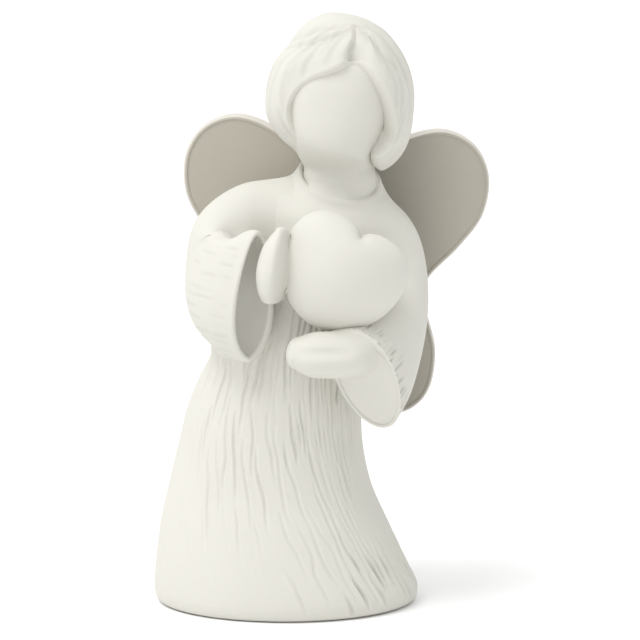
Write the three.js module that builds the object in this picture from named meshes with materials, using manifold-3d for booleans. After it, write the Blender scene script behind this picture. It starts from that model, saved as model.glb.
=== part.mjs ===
// A standing angel figurine, 160 mm tall, made of separate resin castings bonded over pins.
// Millimetres, +Z up, the front faces -Y. The origin is on the table, under the middle of the hem.
import * as THREE from "three";
import { mergeVertices } from "three/addons/utils/BufferGeometryUtils.js";
import Module from "manifold-3d";

const wasm = await Module();
wasm.setup();

// ---- Driving dimensions ---------------------------------------------------------------------------

const gownHeight = 116.2; // table to the middle of the collar
const hemHalfWidth = 36.1;
const hemHalfDepth = 30;
const waistHalfWidth = 21.9;
const waistHalfDepth = 18.5;
const chestHalfWidth = 16.5;
const chestHalfDepth = 17.6;
const hemGround = 0.4; // the hem's underside stands this far off the table, on the felt

const feltThickness = 1;
const feltInset = 4.5; // from the hem's edge to the felt's edge

const neckRadius = 9.6;
const collarWall = 1.3; // thickness of the neckline's edge round the neck
const collarDip = 0.5; // how steeply the neckline falls towards the front, as a slope
const bodyLean = -0.167; // how the shoulders fall towards +X, as a slope
const neckSpigotDepth = 9;

const headHalfWidth = 15.3;
const headHalfDepth = 16.2;
const headHalfHeight = 17.6;
const headRoll = 10; // degrees, the crown leaning towards +X
const hairHalfWidth = 20.4;
const hairHalfDepth = 20.6;
const hairAboveHead = 5.4; // thickness of the hair over the crown

const heartHalfWidth = 17;
const heartRise = 12; // from the heart's middle up to the top of its lobes
const heartNotch = 9.2; // from the middle up to the notch
const heartDrop = 17.5; // from the middle down to its point
const heartHalfThickness = 10;
const heartRoll = 25; // degrees, the lobes leaning towards +X
const heartSeat = 1.5; // how far its back sinks into the chest

const sleeveWall = 2.2;
const rightMouthHalfHeight = 18;
const rightMouthHalfWidth = 7;
const leftMouthHalfHeight = 15.4;
const leftMouthHalfWidth = 9.4;
const mouthDepth = 9; // how deep each sleeve is hollow behind its mouth

const rightHandHalfLength = 9.8;
const leftHandHalfLength = 10.5;
const handHalfThickness = 4.4; // of the upright hand; the hand that lies flat is fuller
const wristRadius = 3.6;

const wingSpan = 43.5; // from the middle of the back to a wing's tip
const wingRise = 39; // from the wing root up to the top of the upper lobe
const wingDrop = 41; // from the wing root down to the bottom of the lower lobe
const wingThickness = 4.8;
const wingSweep = 12; // degrees that each wing is swept back
const wingRoll = 4.3; // degrees, the pair leaning towards +X with the shoulders
const wingSeat = 4.6; // how far the wing roots sink into the back

const pinRadius = 1.2;
const pinLength = 12;
const bondGap = 0.3; // adhesive line between castings, and round pins

// ---- Geometry helpers -----------------------------------------------------------------------------

const radians = THREE.MathUtils.degToRad;
const vec = (x, y, z) => new THREE.Vector3(x, y, z);

// Rows of numbers, made smooth by a Catmull-Rom spline through each column.
function smoothRows(rows, steps) {
  const made = [];
  const at = (i) => rows[Math.min(Math.max(i, 0), rows.length - 1)];
  for (let i = 0; i < rows.length - 1; i++) {
    for (let s = 0; s < steps; s++) {
      const t = s / steps;
      made.push(
        rows[i].map((_, k) => {
          const [a, b, c, d] = [at(i - 1)[k], at(i)[k], at(i + 1)[k], at(i + 2)[k]];
          return b + 0.5 * t * (c - a + t * (2 * a - 5 * b + 4 * c - d + t * (3 * (b - c) + d - a)));
        }),
      );
    }
  }
  made.push(rows[rows.length - 1]);
  return made;
}

// A closed skin through rings of points. Each ring runs anticlockwise seen from the next one.
function skin(rings) {
  const sides = rings[0].length;
  const points = rings.flat();
  const faces = [];
  for (let i = 0; i < rings.length - 1; i++) {
    for (let j = 0; j < sides; j++) {
      const a = i * sides + j;
      const b = i * sides + ((j + 1) % sides);
      faces.push(a, b, b + sides, a, b + sides, a + sides);
    }
  }
  const caps = [rings[0], rings[rings.length - 1]].map((ring) => {
    const middle = ring.reduce((sum, p) => sum.add(p), vec(0, 0, 0)).divideScalar(sides);
    return points.push(middle) - 1;
  });
  const last = (rings.length - 1) * sides;
  for (let j = 0; j < sides; j++) {
    const next = (j + 1) % sides;
    faces.push(caps[0], next, j, caps[1], last + j, last + next);
  }
  return new THREE.BufferGeometry().setFromPoints(points).setIndex(faces);
}

// An oval ring about a centre, in the plane of two directions.
function ovalRing(centre, right, up, halfWidth, halfHeight, sides) {
  return Array.from({ length: sides }, (_, j) => {
    const a = (2 * Math.PI * j) / sides;
    return centre
      .clone()
      .addScaledVector(right, halfWidth * Math.cos(a))
      .addScaledVector(up, halfHeight * Math.sin(a));
  });
}

// An oval tube along a bent path. Each row is [x, y, z, half width, half height]. The height is measured
// from a steady direction that the path never runs along, turned about the path by some degrees.
function bentTube(rows, steady, turn, sides, steps) {
  const fine = smoothRows(rows, steps);
  const centres = fine.map((r) => vec(r[0], r[1], r[2]));
  return skin(
    fine.map((r, i) => {
      const along = centres[Math.min(i + 1, fine.length - 1)].clone().sub(centres[Math.max(i - 1, 0)]).normalize();
      const up = steady.clone().addScaledVector(along, -steady.dot(along)).normalize();
      up.applyAxisAngle(along, radians(turn));
      const right = up.clone().cross(along);
      return ovalRing(centres[i], right, up, r[3], r[4], sides);
    }),
  );
}

// A stack of level ovals. Each row is [z, centre x, centre y, half width, half depth].
function ovalStack(rows, sides, steps) {
  return skin(
    smoothRows(rows, steps).map(([z, x, y, width, depth]) =>
      ovalRing(vec(x, y, z), vec(1, 0, 0), vec(0, 1, 0), width, depth, sides),
    ),
  );
}

// A geometry as a solid that can be joined and cut, its skin moved outwards by an amount.
function solidOf(geometry, grow = 0) {
  const bare = geometry.index ? geometry.toNonIndexed() : geometry.clone();
  bare.deleteAttribute("normal");
  bare.deleteAttribute("uv");
  const merged = mergeVertices(bare, 1e-4);
  merged.computeVertexNormals();
  const { position, normal } = merged.attributes;
  for (let i = 0; i < position.array.length; i++) position.array[i] += grow * normal.array[i];
  return new wasm.Manifold(
    new wasm.Mesh({
      numProp: 3,
      vertProperties: position.array,
      triVerts: new Uint32Array(merged.index.array),
    }),
  );
}

function geometryOf(solid) {
  const { numVert, numProp, vertProperties, triVerts } = solid.getMesh();
  const points = new Float32Array(numVert * 3);
  for (let i = 0; i < numVert; i++) {
    points.set(vertProperties.subarray(i * numProp, i * numProp + 3), i * 3);
  }
  const geometry = new THREE.BufferGeometry()
    .setAttribute("position", new THREE.BufferAttribute(points, 3))
    .setIndex(new THREE.BufferAttribute(triVerts, 1));
  geometry.computeVertexNormals();
  return geometry;
}

// The largest body of a solid, so that a cut leaves no crumbs.
function largestBody(solid) {
  return solid.decompose().sort((a, b) => b.volume() - a.volume())[0];
}

// ---- Places on the body ---------------------------------------------------------------------------

// The middle of the collar, where the spine has leant over to.
const collar = vec(14.5, 0.3, gownHeight);

// The gown as rows of [height, centre x, centre y, half width, half depth, slope in x, slope in y]:
// a wide hem, blown towards -X, a narrow waist, a fuller chest and shoulders that close to the collar.
const level = (z) => (z * gownHeight) / 116; // the skirt and chest levels follow the gown's height
const collarRadius = neckRadius + bondGap + collarWall;
const gownRows = [
  [hemGround, 0, 0, hemHalfWidth - 1.2, hemHalfDepth - 1.1, 0, 0],
  [level(1.6), 0, 0, hemHalfWidth - 0.1, hemHalfDepth - 0.1, 0, 0],
  [level(5), -0.3, 0, hemHalfWidth, hemHalfDepth, 0, 0],
  [level(12), -1.7, 0, hemHalfWidth - 2, hemHalfDepth - 1.2, 0, 0],
  [level(22.5), -3.4, 0.2, 0.64 * hemHalfWidth + 0.36 * waistHalfWidth, hemHalfDepth - 3.7, 0, 0],
  [level(32), -4.4, 0.4, 0.42 * hemHalfWidth + 0.58 * waistHalfWidth, waistHalfDepth + 4.8, 0, 0],
  [level(43), -4.3, 0.4, 0.24 * hemHalfWidth + 0.76 * waistHalfWidth, waistHalfDepth + 2.7, 0, 0],
  [level(55), -3, 0.2, waistHalfWidth + 1.6, waistHalfDepth + 1.2, 0, 0],
  [level(66), -0.4, 0, waistHalfWidth - 0.8, waistHalfDepth, 0, 0],
  [level(78), 5, 0, chestHalfWidth + 2, chestHalfDepth + 0.4, 0.3 * bodyLean, 0],
  [level(90), 9.4, 0, chestHalfWidth + 0.3, chestHalfDepth, 0.6 * bodyLean, 0],
  [level(99), 11.4, 0.2, chestHalfWidth, chestHalfDepth - 0.6, 0.85 * bodyLean, 0.02],
  [level(106.5), 12.6, 0.3, chestHalfWidth, chestHalfDepth - 2.4, bodyLean, 0.1],
  [level(111.5), 13.5, 0.3, chestHalfWidth - 2.2, chestHalfDepth - 4.3, bodyLean, 0.26],
  [level(114.3), 14.3, 0.3, collarRadius + 1.2, collarRadius + 0.8, bodyLean, 0.42],
  [gownHeight, collar.x, collar.y, collarRadius, collarRadius, bodyLean, collarDip],
];

// Half the depth of the gown at a height, for what seats on the chest or the back.
function gownHalfDepthAt(z) {
  const above = gownRows.findIndex((row) => row[0] > z);
  const [a, b] = [gownRows[above - 1], gownRows[above]];
  return THREE.MathUtils.mapLinear(z, a[0], b[0], a[4], b[4]);
}

const heartCentre = vec(collar.x + 1, 0, collar.z - 20.4);
heartCentre.y = -gownHalfDepthAt(heartCentre.z) - heartHalfThickness + heartSeat;
const rightHandCentre = vec(heartCentre.x - heartHalfWidth - 1.6, heartCentre.y - 3.6, heartCentre.z + 1);
const leftHandCentre = vec(heartCentre.x - 4.6, heartCentre.y - 4.6, heartCentre.z - heartDrop - 5.2);
const rightShoulder = vec(collar.x - chestHalfWidth + 2, 3, collar.z - 7.6);
const leftShoulder = vec(collar.x + chestHalfWidth - 6.5, 3, collar.z - 10.7);
const headCentre = vec(collar.x + 0.1, -0.8, collar.z + headHalfHeight + 4.5);

// ---- Castings -------------------------------------------------------------------------------------

// The gown: one solid casting from hem to collar, with a sunk seat for the felt in its underside.
function gownForm(grow = 0) {
  const rings = smoothRows(gownRows, 2).map(([z, x, y, width, depth, slopeX, slopeY]) =>
    ovalRing(vec(x, y, z), vec(1, 0, slopeX), vec(0, 1, slopeY), width, depth, 44),
  );
  return solidOf(skin(rings), grow);
}

// The felt pad's outline, grown to cut its seat.
function feltForm(grow = 0) {
  const width = hemHalfWidth - feltInset + grow;
  const depth = hemHalfDepth - feltInset + grow;
  const pad = new THREE.CylinderGeometry(1, 1, feltThickness + grow, 40).rotateX(Math.PI / 2);
  return solidOf(pad.scale(width, depth, 1).translate(0, 0, (feltThickness + grow) / 2));
}

// The right arm's sleeve: it swells from the shoulder to a bag at the elbow, then narrows to a tall slit
// of a mouth beside the heart.
const rightMouth = vec(rightHandCentre.x - 5.6, rightHandCentre.y + 4.4, rightHandCentre.z - 8.8);
const rightElbow = rightShoulder.clone().lerp(rightMouth, 0.5);
const rightSleeveRows = [
  [rightShoulder.x + 1, rightShoulder.y, rightShoulder.z - 1.4, 7, 7.8],
  [rightShoulder.x - 6, rightShoulder.y - 1, rightShoulder.z - 3, 10.4, 10.8],
  [rightElbow.x - 9.6, rightElbow.y + 8.2, rightElbow.z + 0.8, 11.3, 13.4],
  [rightMouth.x - 7, rightMouth.y + 16, rightMouth.z + 2.5, 11.6, rightMouthHalfHeight - 1],
  [rightMouth.x - 5.8, rightMouth.y + 7.4, rightMouth.z + 1, 9.8, rightMouthHalfHeight - 0.6],
  [rightMouth.x, rightMouth.y, rightMouth.z, rightMouthHalfWidth, rightMouthHalfHeight],
];

// The left arm's sleeve: it hangs from the shoulder and opens forwards, under the heart, in a leaning oval.
const leftMouth = vec(leftHandCentre.x + 11.4, leftHandCentre.y + 4, leftHandCentre.z - 7.2);
const leftElbow = leftShoulder.clone().lerp(leftMouth, 0.5);
const leftSleeveRows = [
  [leftShoulder.x, leftShoulder.y, leftShoulder.z + 1, 7.8, 8.2],
  [leftShoulder.x + 3.2, leftShoulder.y - 0.5, leftShoulder.z - 4.4, 9.9, 9.9],
  [leftElbow.x + 5.1, leftElbow.y + 11.8, leftElbow.z + 3.6, 10, 10.5],
  [leftMouth.x + 5.6, leftMouth.y + 18.5, leftMouth.z + 12.8, 10, 11.5],
  [leftMouth.x + 3.4, leftMouth.y + 9, leftMouth.z + 3.8, 9.6, leftMouthHalfHeight - 1],
  [leftMouth.x, leftMouth.y, leftMouth.z, leftMouthHalfWidth, leftMouthHalfHeight],
];

// A sleeve's outer form, and the flared hollow inside its mouth.
function sleeveForm({ rows, steady, turn }, grow = 0) {
  return solidOf(bentTube(rows, steady, turn, 28, 3), grow);
}

function sleeveHollow({ rows, steady, turn }) {
  const [elbow, mouth] = rows.slice(-2);
  const outwards = mouth.map((value, k) => value + 0.25 * (value - elbow[k]));
  const back = THREE.MathUtils.clamp(
    mouthDepth / vec(mouth[0] - elbow[0], mouth[1] - elbow[1], mouth[2] - elbow[2]).length(),
    0.2,
    1.2,
  );
  const inwards = mouth.map((value, k) => value + back * (elbow[k] - value));
  const narrow = (row, share) => [row[0], row[1], row[2], share * (row[3] - sleeveWall), share * (row[4] - sleeveWall)];
  const hollow = [narrow(inwards, 0.5), narrow(mouth, 1), narrow(outwards, 1)];
  return solidOf(bentTube(hollow, steady, turn, 20, 2));
}

// The left sleeve hangs first and then turns forwards, so its steady direction lies across that bend.
const rightArm = { rows: rightSleeveRows, steady: vec(0, 0, 1), turn: 0 };
const leftArm = { rows: leftSleeveRows, steady: vec(-0.72, 0.49, -0.46), turn: -105 };

// The right hand stands upright against the heart. Its wrist runs back into the sleeve.
function rightHandForm(grow = 0) {
  const { x, y, z } = rightHandCentre;
  const half = rightHandHalfLength;
  const thick = handHalfThickness;
  const palm = bentTube(
    [
      [x + 0.6, y + 0.5, z - half, 1.4, 2],
      [x - 0.6, y, z - 0.75 * half, 0.82 * thick, 4.4],
      [x - 0.9, y, z - 0.2 * half, thick, 5.6],
      [x - 0.3, y + 0.4, z + 0.4 * half, 0.9 * thick, 5],
      [x + 0.9, y + 1, z + half, 1.2, 2],
    ],
    vec(0, -1, 0),
    0,
    16,
    3,
  );
  const wrist = bentTube(
    [
      [x - 0.8, y + 1, z - 1, wristRadius - 0.4, wristRadius],
      [rightMouth.x + 1, rightMouth.y + 1, rightMouth.z + 8, wristRadius, wristRadius],
      [rightMouth.x - 2.4, rightMouth.y + 7.5, rightMouth.z + 6, wristRadius, wristRadius],
    ],
    vec(0, 0, 1),
    0,
    12,
    3,
  );
  return solidOf(palm, grow).add(solidOf(wrist, grow));
}

// The left hand lies palm up under the heart's point, fingers towards -X.
function leftHandForm(grow = 0) {
  const { x, y, z } = leftHandCentre;
  const half = leftHandHalfLength;
  const thick = handHalfThickness;
  const palm = bentTube(
    [
      [x - half + 0.3, y, z + 0.8, 3.2, 2.6],
      [x - 0.75 * half, y - 0.3, z + 0.2, 5.6, thick + 0.6],
      [x, y - 0.2, z, 6.6, thick + 1.8],
      [x + 0.62 * half, y + 0.8, z - 0.5, 6, thick + 1.2],
      [leftMouth.x - 1.6, leftMouth.y + 0.5, z - 1.2, wristRadius + 1.2, wristRadius + 1.2],
      [leftMouth.x + 1.4, leftMouth.y + 5.5, z - 1.4, wristRadius, wristRadius],
    ],
    vec(0, 0, 1),
    0,
    18,
    3,
  );
  return solidOf(palm, grow);
}

// The heart: its outline drawn as arcs of a polar curve, pillowed front and back.
function heartForm(grow = 0) {
  const outline = new THREE.Shape();
  const w = heartHalfWidth;
  const top = heartRise;
  outline.moveTo(0, heartNotch);
  outline.bezierCurveTo(0.1 * w, top + 0.4, 0.34 * w, top + 0.6, 0.52 * w, top);
  outline.bezierCurveTo(0.82 * w, 0.92 * top, w, 0.6 * top, w, 0.12 * top);
  outline.bezierCurveTo(w, -0.5 * heartDrop, 0.34 * w, -heartDrop, 0, -heartDrop);
  outline.bezierCurveTo(-0.34 * w, -heartDrop, -w, -0.5 * heartDrop, -w, 0.12 * top);
  outline.bezierCurveTo(-w, 0.6 * top, -0.82 * w, 0.92 * top, -0.52 * w, top);
  outline.bezierCurveTo(-0.34 * w, top + 0.6, -0.1 * w, top + 0.4, 0, heartNotch);
  const edge = outline.getSpacedPoints(40).slice(0, -1).reverse();
  const turns = [6, 20, 38, 58, 76, 90, 104, 122, 142, 160, 174];
  const rings = turns.map((degrees) => {
    const share = Math.sin(radians(degrees)) ** 0.85;
    const depth = heartHalfThickness * Math.cos(radians(degrees));
    return edge.map((p) => {
      const round = p.clone().setLength(heartRise); // towards its middle the heart turns into a plain dome
      const q = round.lerp(p, share ** 2).multiplyScalar(share);
      return vec(q.x, depth, q.y);
    });
  });
  const form = skin(rings).rotateY(radians(heartRoll));
  return solidOf(form.translate(heartCentre.x, heartCentre.y, heartCentre.z), grow);
}

// Head, neck and the spigot that seats in the collar: one casting, with a plain smooth face.
function inHeadFrame(geometry) {
  return geometry.rotateY(radians(headRoll)).translate(headCentre.x, headCentre.y, headCentre.z);
}

function headForm(grow = 0) {
  const [w, d, h] = [headHalfWidth, headHalfDepth, headHalfHeight];
  const skull = ovalStack(
    [
      [-h, 0, -3, 0.12 * w, 0.12 * d],
      [-0.93 * h, 0, -3, 0.4 * w, 0.36 * d],
      [-0.72 * h, 0, -2.1, 0.66 * w, 0.66 * d],
      [-0.35 * h, 0, -1, 0.88 * w, 0.9 * d],
      [0.08 * h, 0, 0, w, d],
      [0.5 * h, 0, 0.3, 0.88 * w, 0.88 * d],
      [0.85 * h, 0, 0.4, 0.53 * w, 0.53 * d],
      [h, 0, 0.4, 0.1 * w, 0.1 * d],
    ],
    28,
    2,
  );
  return solidOf(inHeadFrame(skull), grow).add(neckForm(grow));
}

function neckForm(grow = 0) {
  const bottom = collar.z - neckSpigotDepth;
  const rows = [
    [bottom, collar.x - 0.4, collar.y, neckRadius - 1.6, neckRadius - 1.6],
    [collar.z - 4, collar.x, collar.y, neckRadius, neckRadius],
    [collar.z + 3, collar.x + 0.2, collar.y, neckRadius, neckRadius],
    [headCentre.z - 0.4 * headHalfHeight, headCentre.x, collar.y + 1.2, neckRadius - 0.6, neckRadius - 0.6],
  ];
  return solidOf(ovalStack(rows, 28, 2), grow);
}

// The hair: a bob of one thickness round the head, open at the face, its ends turned in at the neck.
function hairForm() {
  const [w, d] = [hairHalfWidth, hairHalfDepth];
  const crown = headHalfHeight + hairAboveHead;
  const outer = ovalStack(
    [
      [-19.2, 0, 3.5, 0.58 * w, 0.6 * d],
      [-16.6, 0, 2.2, 0.78 * w, 0.78 * d],
      [-10.5, 0, 1, 0.94 * w, 0.93 * d],
      [-1, 0, 0.6, w, d],
      [9, 0, 0.4, 0.9 * w, 0.93 * d],
      [16, 0, 0.2, 0.7 * w, 0.74 * d],
      [crown - 1.6, 0, 0, 0.38 * w, 0.42 * d],
      [crown, 0, 0, 0.08 * w, 0.08 * d],
    ],
    36,
    2,
  );
  const face = new THREE.Shape();
  face.moveTo(2, 13);
  face.bezierCurveTo(-5, 10.5, -13.2, 6, -13.2, -2);
  face.bezierCurveTo(-13.2, -8, -9, -12, -8, -24);
  face.lineTo(9.5, -24);
  face.bezierCurveTo(10, -16, 13.6, -10, 13.6, -2);
  face.bezierCurveTo(13.6, 5, 8, 11, 2, 13);
  const window = new THREE.ExtrudeGeometry(face, { depth: 40, bevelEnabled: false, curveSegments: 6 });
  window.rotateX(Math.PI / 2).translate(0, -3, 0);
  const nape = new THREE.CylinderGeometry(neckRadius + 2.4, neckRadius + 2.4, 14, 28).rotateX(Math.PI / 2);
  nape.translate(0, 0.5, -20);
  return [window, nape].reduce(
    (left, cut) => left.subtract(solidOf(inHeadFrame(cut))),
    solidOf(inHeadFrame(outer)),
  );
}

// One wing, drawn for the +X side: a large upper lobe and a small lower one on a shared root.
const wingRoot = vec(collar.x - 2.4, 0, collar.z - 25.2);
wingRoot.y = gownHalfDepthAt(wingRoot.z) - wingSeat;

function wingForm(side, grow = 0) {
  const [s, up, down] = [wingSpan, wingRise, wingDrop];
  const points = [
    [2, 0.1 * up],
    [4, 0.44 * up],
    [0.22 * s, 0.74 * up],
    [0.42 * s, 0.93 * up],
    [0.67 * s, up],
    [0.88 * s, 0.9 * up],
    [0.99 * s, 0.68 * up],
    [0.97 * s, 0.4 * up],
    [0.83 * s, 0.16 * up],
    [0.66 * s, -0.05 * up],
    [0.6 * s, -0.2 * down],
    [0.67 * s, -0.35 * down],
    [0.73 * s, -0.56 * down],
    [0.72 * s, -0.79 * down],
    [0.64 * s, -0.94 * down],
    [0.5 * s, -down],
    [0.33 * s, -0.86 * down],
    [0.16 * s, -0.5 * down],
    [2, -0.14 * down],
  ];
  const inset = 1.7;
  const curve = new THREE.SplineCurve([...points, points[0]].map(([x, y]) => new THREE.Vector2(x, y)));
  const rim = curve.getSpacedPoints(44).slice(0, -1);
  const plate = new THREE.ExtrudeGeometry(new THREE.Shape(rim), {
    depth: wingThickness - 2 * inset,
    bevelThickness: inset,
    bevelSize: inset,
    bevelOffset: -inset,
    bevelSegments: 3,
  });
  plate.translate(0, 0, -wingThickness / 2 + inset).rotateX(Math.PI / 2);
  plate.rotateZ(radians(wingSweep));
  const solid = solidOf(plate, grow);
  const placed = side < 0 ? solid.mirror([1, 0, 0]) : solid;
  return placed.rotate([0, wingRoll, 0]).translate([wingRoot.x, wingRoot.y + wingThickness / 2, wingRoot.z]);
}

// A steel pin between two castings, centred on a point, and its hole.
function pinForm({ at, along }, grow = 0) {
  const pin = new THREE.CylinderGeometry(pinRadius + grow, pinRadius + grow, pinLength + 2 * grow, 12);
  const turn = new THREE.Quaternion().setFromUnitVectors(vec(0, 1, 0), along.clone().normalize());
  return solidOf(pin.applyQuaternion(turn).translate(at.x, at.y, at.z));
}

// ---- Pins -----------------------------------------------------------------------------------------

function wingPin(side, height) {
  const lean = radians(wingRoll);
  const out = side * 4.2;
  const x = wingRoot.x + out * Math.cos(lean) + height * Math.sin(lean);
  const z = wingRoot.z - out * Math.sin(lean) + height * Math.cos(lean);
  return { at: vec(x, wingRoot.y + wingThickness - pinLength / 2 - 0.8, z), along: vec(0, 1, 0) };
}

const pins = {
  heart_pin: { at: vec(heartCentre.x, heartCentre.y + heartHalfThickness, heartCentre.z), along: vec(0, 1, 0) },
  right_shoulder_pin: { at: vec(rightShoulder.x, 3, rightShoulder.z - 5), along: vec(1, 0, 0) },
  left_shoulder_pin: { at: vec(leftShoulder.x - 5.5, 0, leftShoulder.z - 12.5), along: vec(1, 0, 0) },
  right_wing_upper_pin: wingPin(-1, 6),
  right_wing_lower_pin: wingPin(-1, -7),
  left_wing_upper_pin: wingPin(1, 6),
  left_wing_lower_pin: wingPin(1, -7),
};

// ---- Assembly -------------------------------------------------------------------------------------

const pinHoles = Object.values(pins).map((pin) => pinForm(pin, bondGap));
const cutBy = (solid, tools) => largestBody(tools.reduce((left, tool) => left.subtract(tool), solid));

const rightHand = rightHandForm();
const leftHand = leftHandForm();
const grown = {
  heart: heartForm(bondGap),
  head: headForm(bondGap),
  rightHand: rightHandForm(bondGap),
  leftHand: leftHandForm(bondGap),
  rightSleeve: sleeveForm(rightArm, bondGap),
  leftSleeve: sleeveForm(leftArm, bondGap),
  rightWing: wingForm(-1, bondGap),
  leftWing: wingForm(1, bondGap),
};
const heart = cutBy(heartForm(), pinHoles);
const head = headForm();
const rightSleeve = sleeveForm(rightArm).subtract(sleeveHollow(rightArm));
const leftSleeve = sleeveForm(leftArm).subtract(sleeveHollow(leftArm));

const castings = {
  gown: cutBy(gownForm(), [
    feltForm(bondGap),
    grown.head,
    grown.heart,
    grown.rightSleeve,
    grown.leftSleeve,
    grown.rightHand,
    grown.leftHand,
    grown.rightWing,
    grown.leftWing,
    ...pinHoles,
  ]),
  right_sleeve: cutBy(rightSleeve, [grown.rightHand, grown.heart, grown.head, grown.rightWing, ...pinHoles]),
  left_sleeve: cutBy(leftSleeve, [grown.leftHand, grown.heart, grown.head, grown.leftWing, ...pinHoles]),
  right_hand: cutBy(rightHand, [grown.heart]),
  left_hand: cutBy(leftHand, [grown.heart]),
  heart,
  head,
  hair: cutBy(hairForm(), [grown.head, gownForm(bondGap), grown.rightWing, grown.leftWing]),
  right_wing: cutBy(wingForm(-1), pinHoles),
  left_wing: cutBy(wingForm(1), pinHoles),
  felt_pad: feltForm(),
};

const bisque = { color: 0xf1efe6, roughness: 0.72, metalness: 0 };
const taupe = { color: 0xb9b1a1, roughness: 0.5, metalness: 0 };
const felt = { color: 0xdcd8cc, roughness: 0.95, metalness: 0 };
const steel = { color: 0xb4b6b8, roughness: 0.35, metalness: 1 };

// A named mesh, placed by its own middle.
function partMesh(name, solid, finish) {
  const geometry = geometryOf(solid);
  geometry.computeBoundingBox();
  const middle = geometry.boundingBox.getCenter(vec(0, 0, 0));
  geometry.translate(-middle.x, -middle.y, -middle.z);
  const mesh = new THREE.Mesh(geometry, new THREE.MeshStandardMaterial(finish));
  mesh.name = name;
  mesh.position.copy(middle);
  return mesh;
}

// A sub-assembly: some castings with the pins that hold them.
function subAssembly(names, pinNames, finish = bisque) {
  const group = new THREE.Group();
  for (const name of names) group.add(partMesh(name, castings[name], finish));
  for (const name of pinNames) group.add(partMesh(name, pinForm(pins[name]), steel));
  return group;
}

const wingPins = Object.keys(pins).filter((name) => name.includes("wing"));
const figurine = new THREE.Group();
figurine.add(
  subAssembly(["gown"], []),
  subAssembly(["felt_pad"], [], felt),
  subAssembly(["head", "hair"], []),
  subAssembly(["heart"], ["heart_pin"]),
  subAssembly(["right_sleeve", "right_hand"], ["right_shoulder_pin"]),
  subAssembly(["left_sleeve", "left_hand"], ["left_shoulder_pin"]),
  subAssembly(["right_wing", "left_wing"], wingPins, taupe),
);

export default figurine;
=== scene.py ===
"""A standing angel figurine of cast resin: gown, sleeves, hands, heart, head, hair and wings, each its own
casting, bonded over steel pins, on a felt pad. Lengths here are in millimetres until a mesh is made."""

import math

import bpy
import numpy as np

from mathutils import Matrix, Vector


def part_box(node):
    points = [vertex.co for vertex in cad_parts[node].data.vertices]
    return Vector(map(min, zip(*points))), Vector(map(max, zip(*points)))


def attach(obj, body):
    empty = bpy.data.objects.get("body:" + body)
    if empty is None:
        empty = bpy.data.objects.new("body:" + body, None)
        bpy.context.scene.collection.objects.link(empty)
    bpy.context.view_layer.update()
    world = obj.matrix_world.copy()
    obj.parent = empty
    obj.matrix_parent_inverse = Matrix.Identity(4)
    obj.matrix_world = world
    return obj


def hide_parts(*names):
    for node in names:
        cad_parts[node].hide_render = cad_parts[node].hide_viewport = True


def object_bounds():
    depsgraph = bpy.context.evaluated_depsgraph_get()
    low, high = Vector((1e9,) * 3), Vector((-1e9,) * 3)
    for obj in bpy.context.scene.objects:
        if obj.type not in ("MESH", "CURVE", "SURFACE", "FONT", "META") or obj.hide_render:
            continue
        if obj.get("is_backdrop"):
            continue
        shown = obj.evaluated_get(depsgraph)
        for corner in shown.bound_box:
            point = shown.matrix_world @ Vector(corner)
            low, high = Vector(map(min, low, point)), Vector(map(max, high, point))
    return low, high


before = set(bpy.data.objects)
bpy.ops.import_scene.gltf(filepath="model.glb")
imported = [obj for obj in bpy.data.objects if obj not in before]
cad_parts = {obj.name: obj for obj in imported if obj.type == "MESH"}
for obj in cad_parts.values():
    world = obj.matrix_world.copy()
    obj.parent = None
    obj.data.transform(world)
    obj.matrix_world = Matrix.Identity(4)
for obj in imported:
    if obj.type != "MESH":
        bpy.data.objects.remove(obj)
cad_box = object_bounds()

# ---- Gown -------------------------------------------------------------------------------------------
# The gown is one solid resin casting, from the wide hem up to the collar that holds the neck. The skirt
# leans, and long thin strokes were carved down it by hand before the mould was made. Its shoulders
# flow into the sleeves, so the bond lines there were filled and rubbed smooth.

MM = 0.001


def box_of(name):
    """Lowest corner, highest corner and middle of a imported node, in millimetres."""
    low, high = (np.array(corner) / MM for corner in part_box(name))
    return low, high, (low + high) / 2


def smooth_rows(rows, count, measured, closed=False):
    """Rows of numbers drawn as one smooth curve, sampled at even steps along the measured columns."""
    rows = np.array(rows, float)
    last = len(rows) if closed else len(rows) - 1
    at = np.linspace(0, last, 60 * last + 1)
    start = np.minimum(at.astype(int), last - 1)
    share = (at - start)[:, None]

    def row(step):
        index = start + step
        return rows[index % len(rows)] if closed else rows[np.clip(index, 0, last)]

    a, b, c, d = (row(step) for step in (-1, 0, 1, 2))
    fine = b + 0.5 * share * (c - a + share * (2 * a - 5 * b + 4 * c - d + share * (3 * (b - c) + d - a)))
    steps = np.linalg.norm(np.diff(fine[:, measured], axis=0), axis=1)
    length = np.concatenate([[0], np.cumsum(steps)])
    wanted = np.linspace(0, length[-1], count + 1 if closed else count)[:count]
    return np.stack([np.interp(wanted, length, column) for column in fine.T], axis=1)


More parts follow.
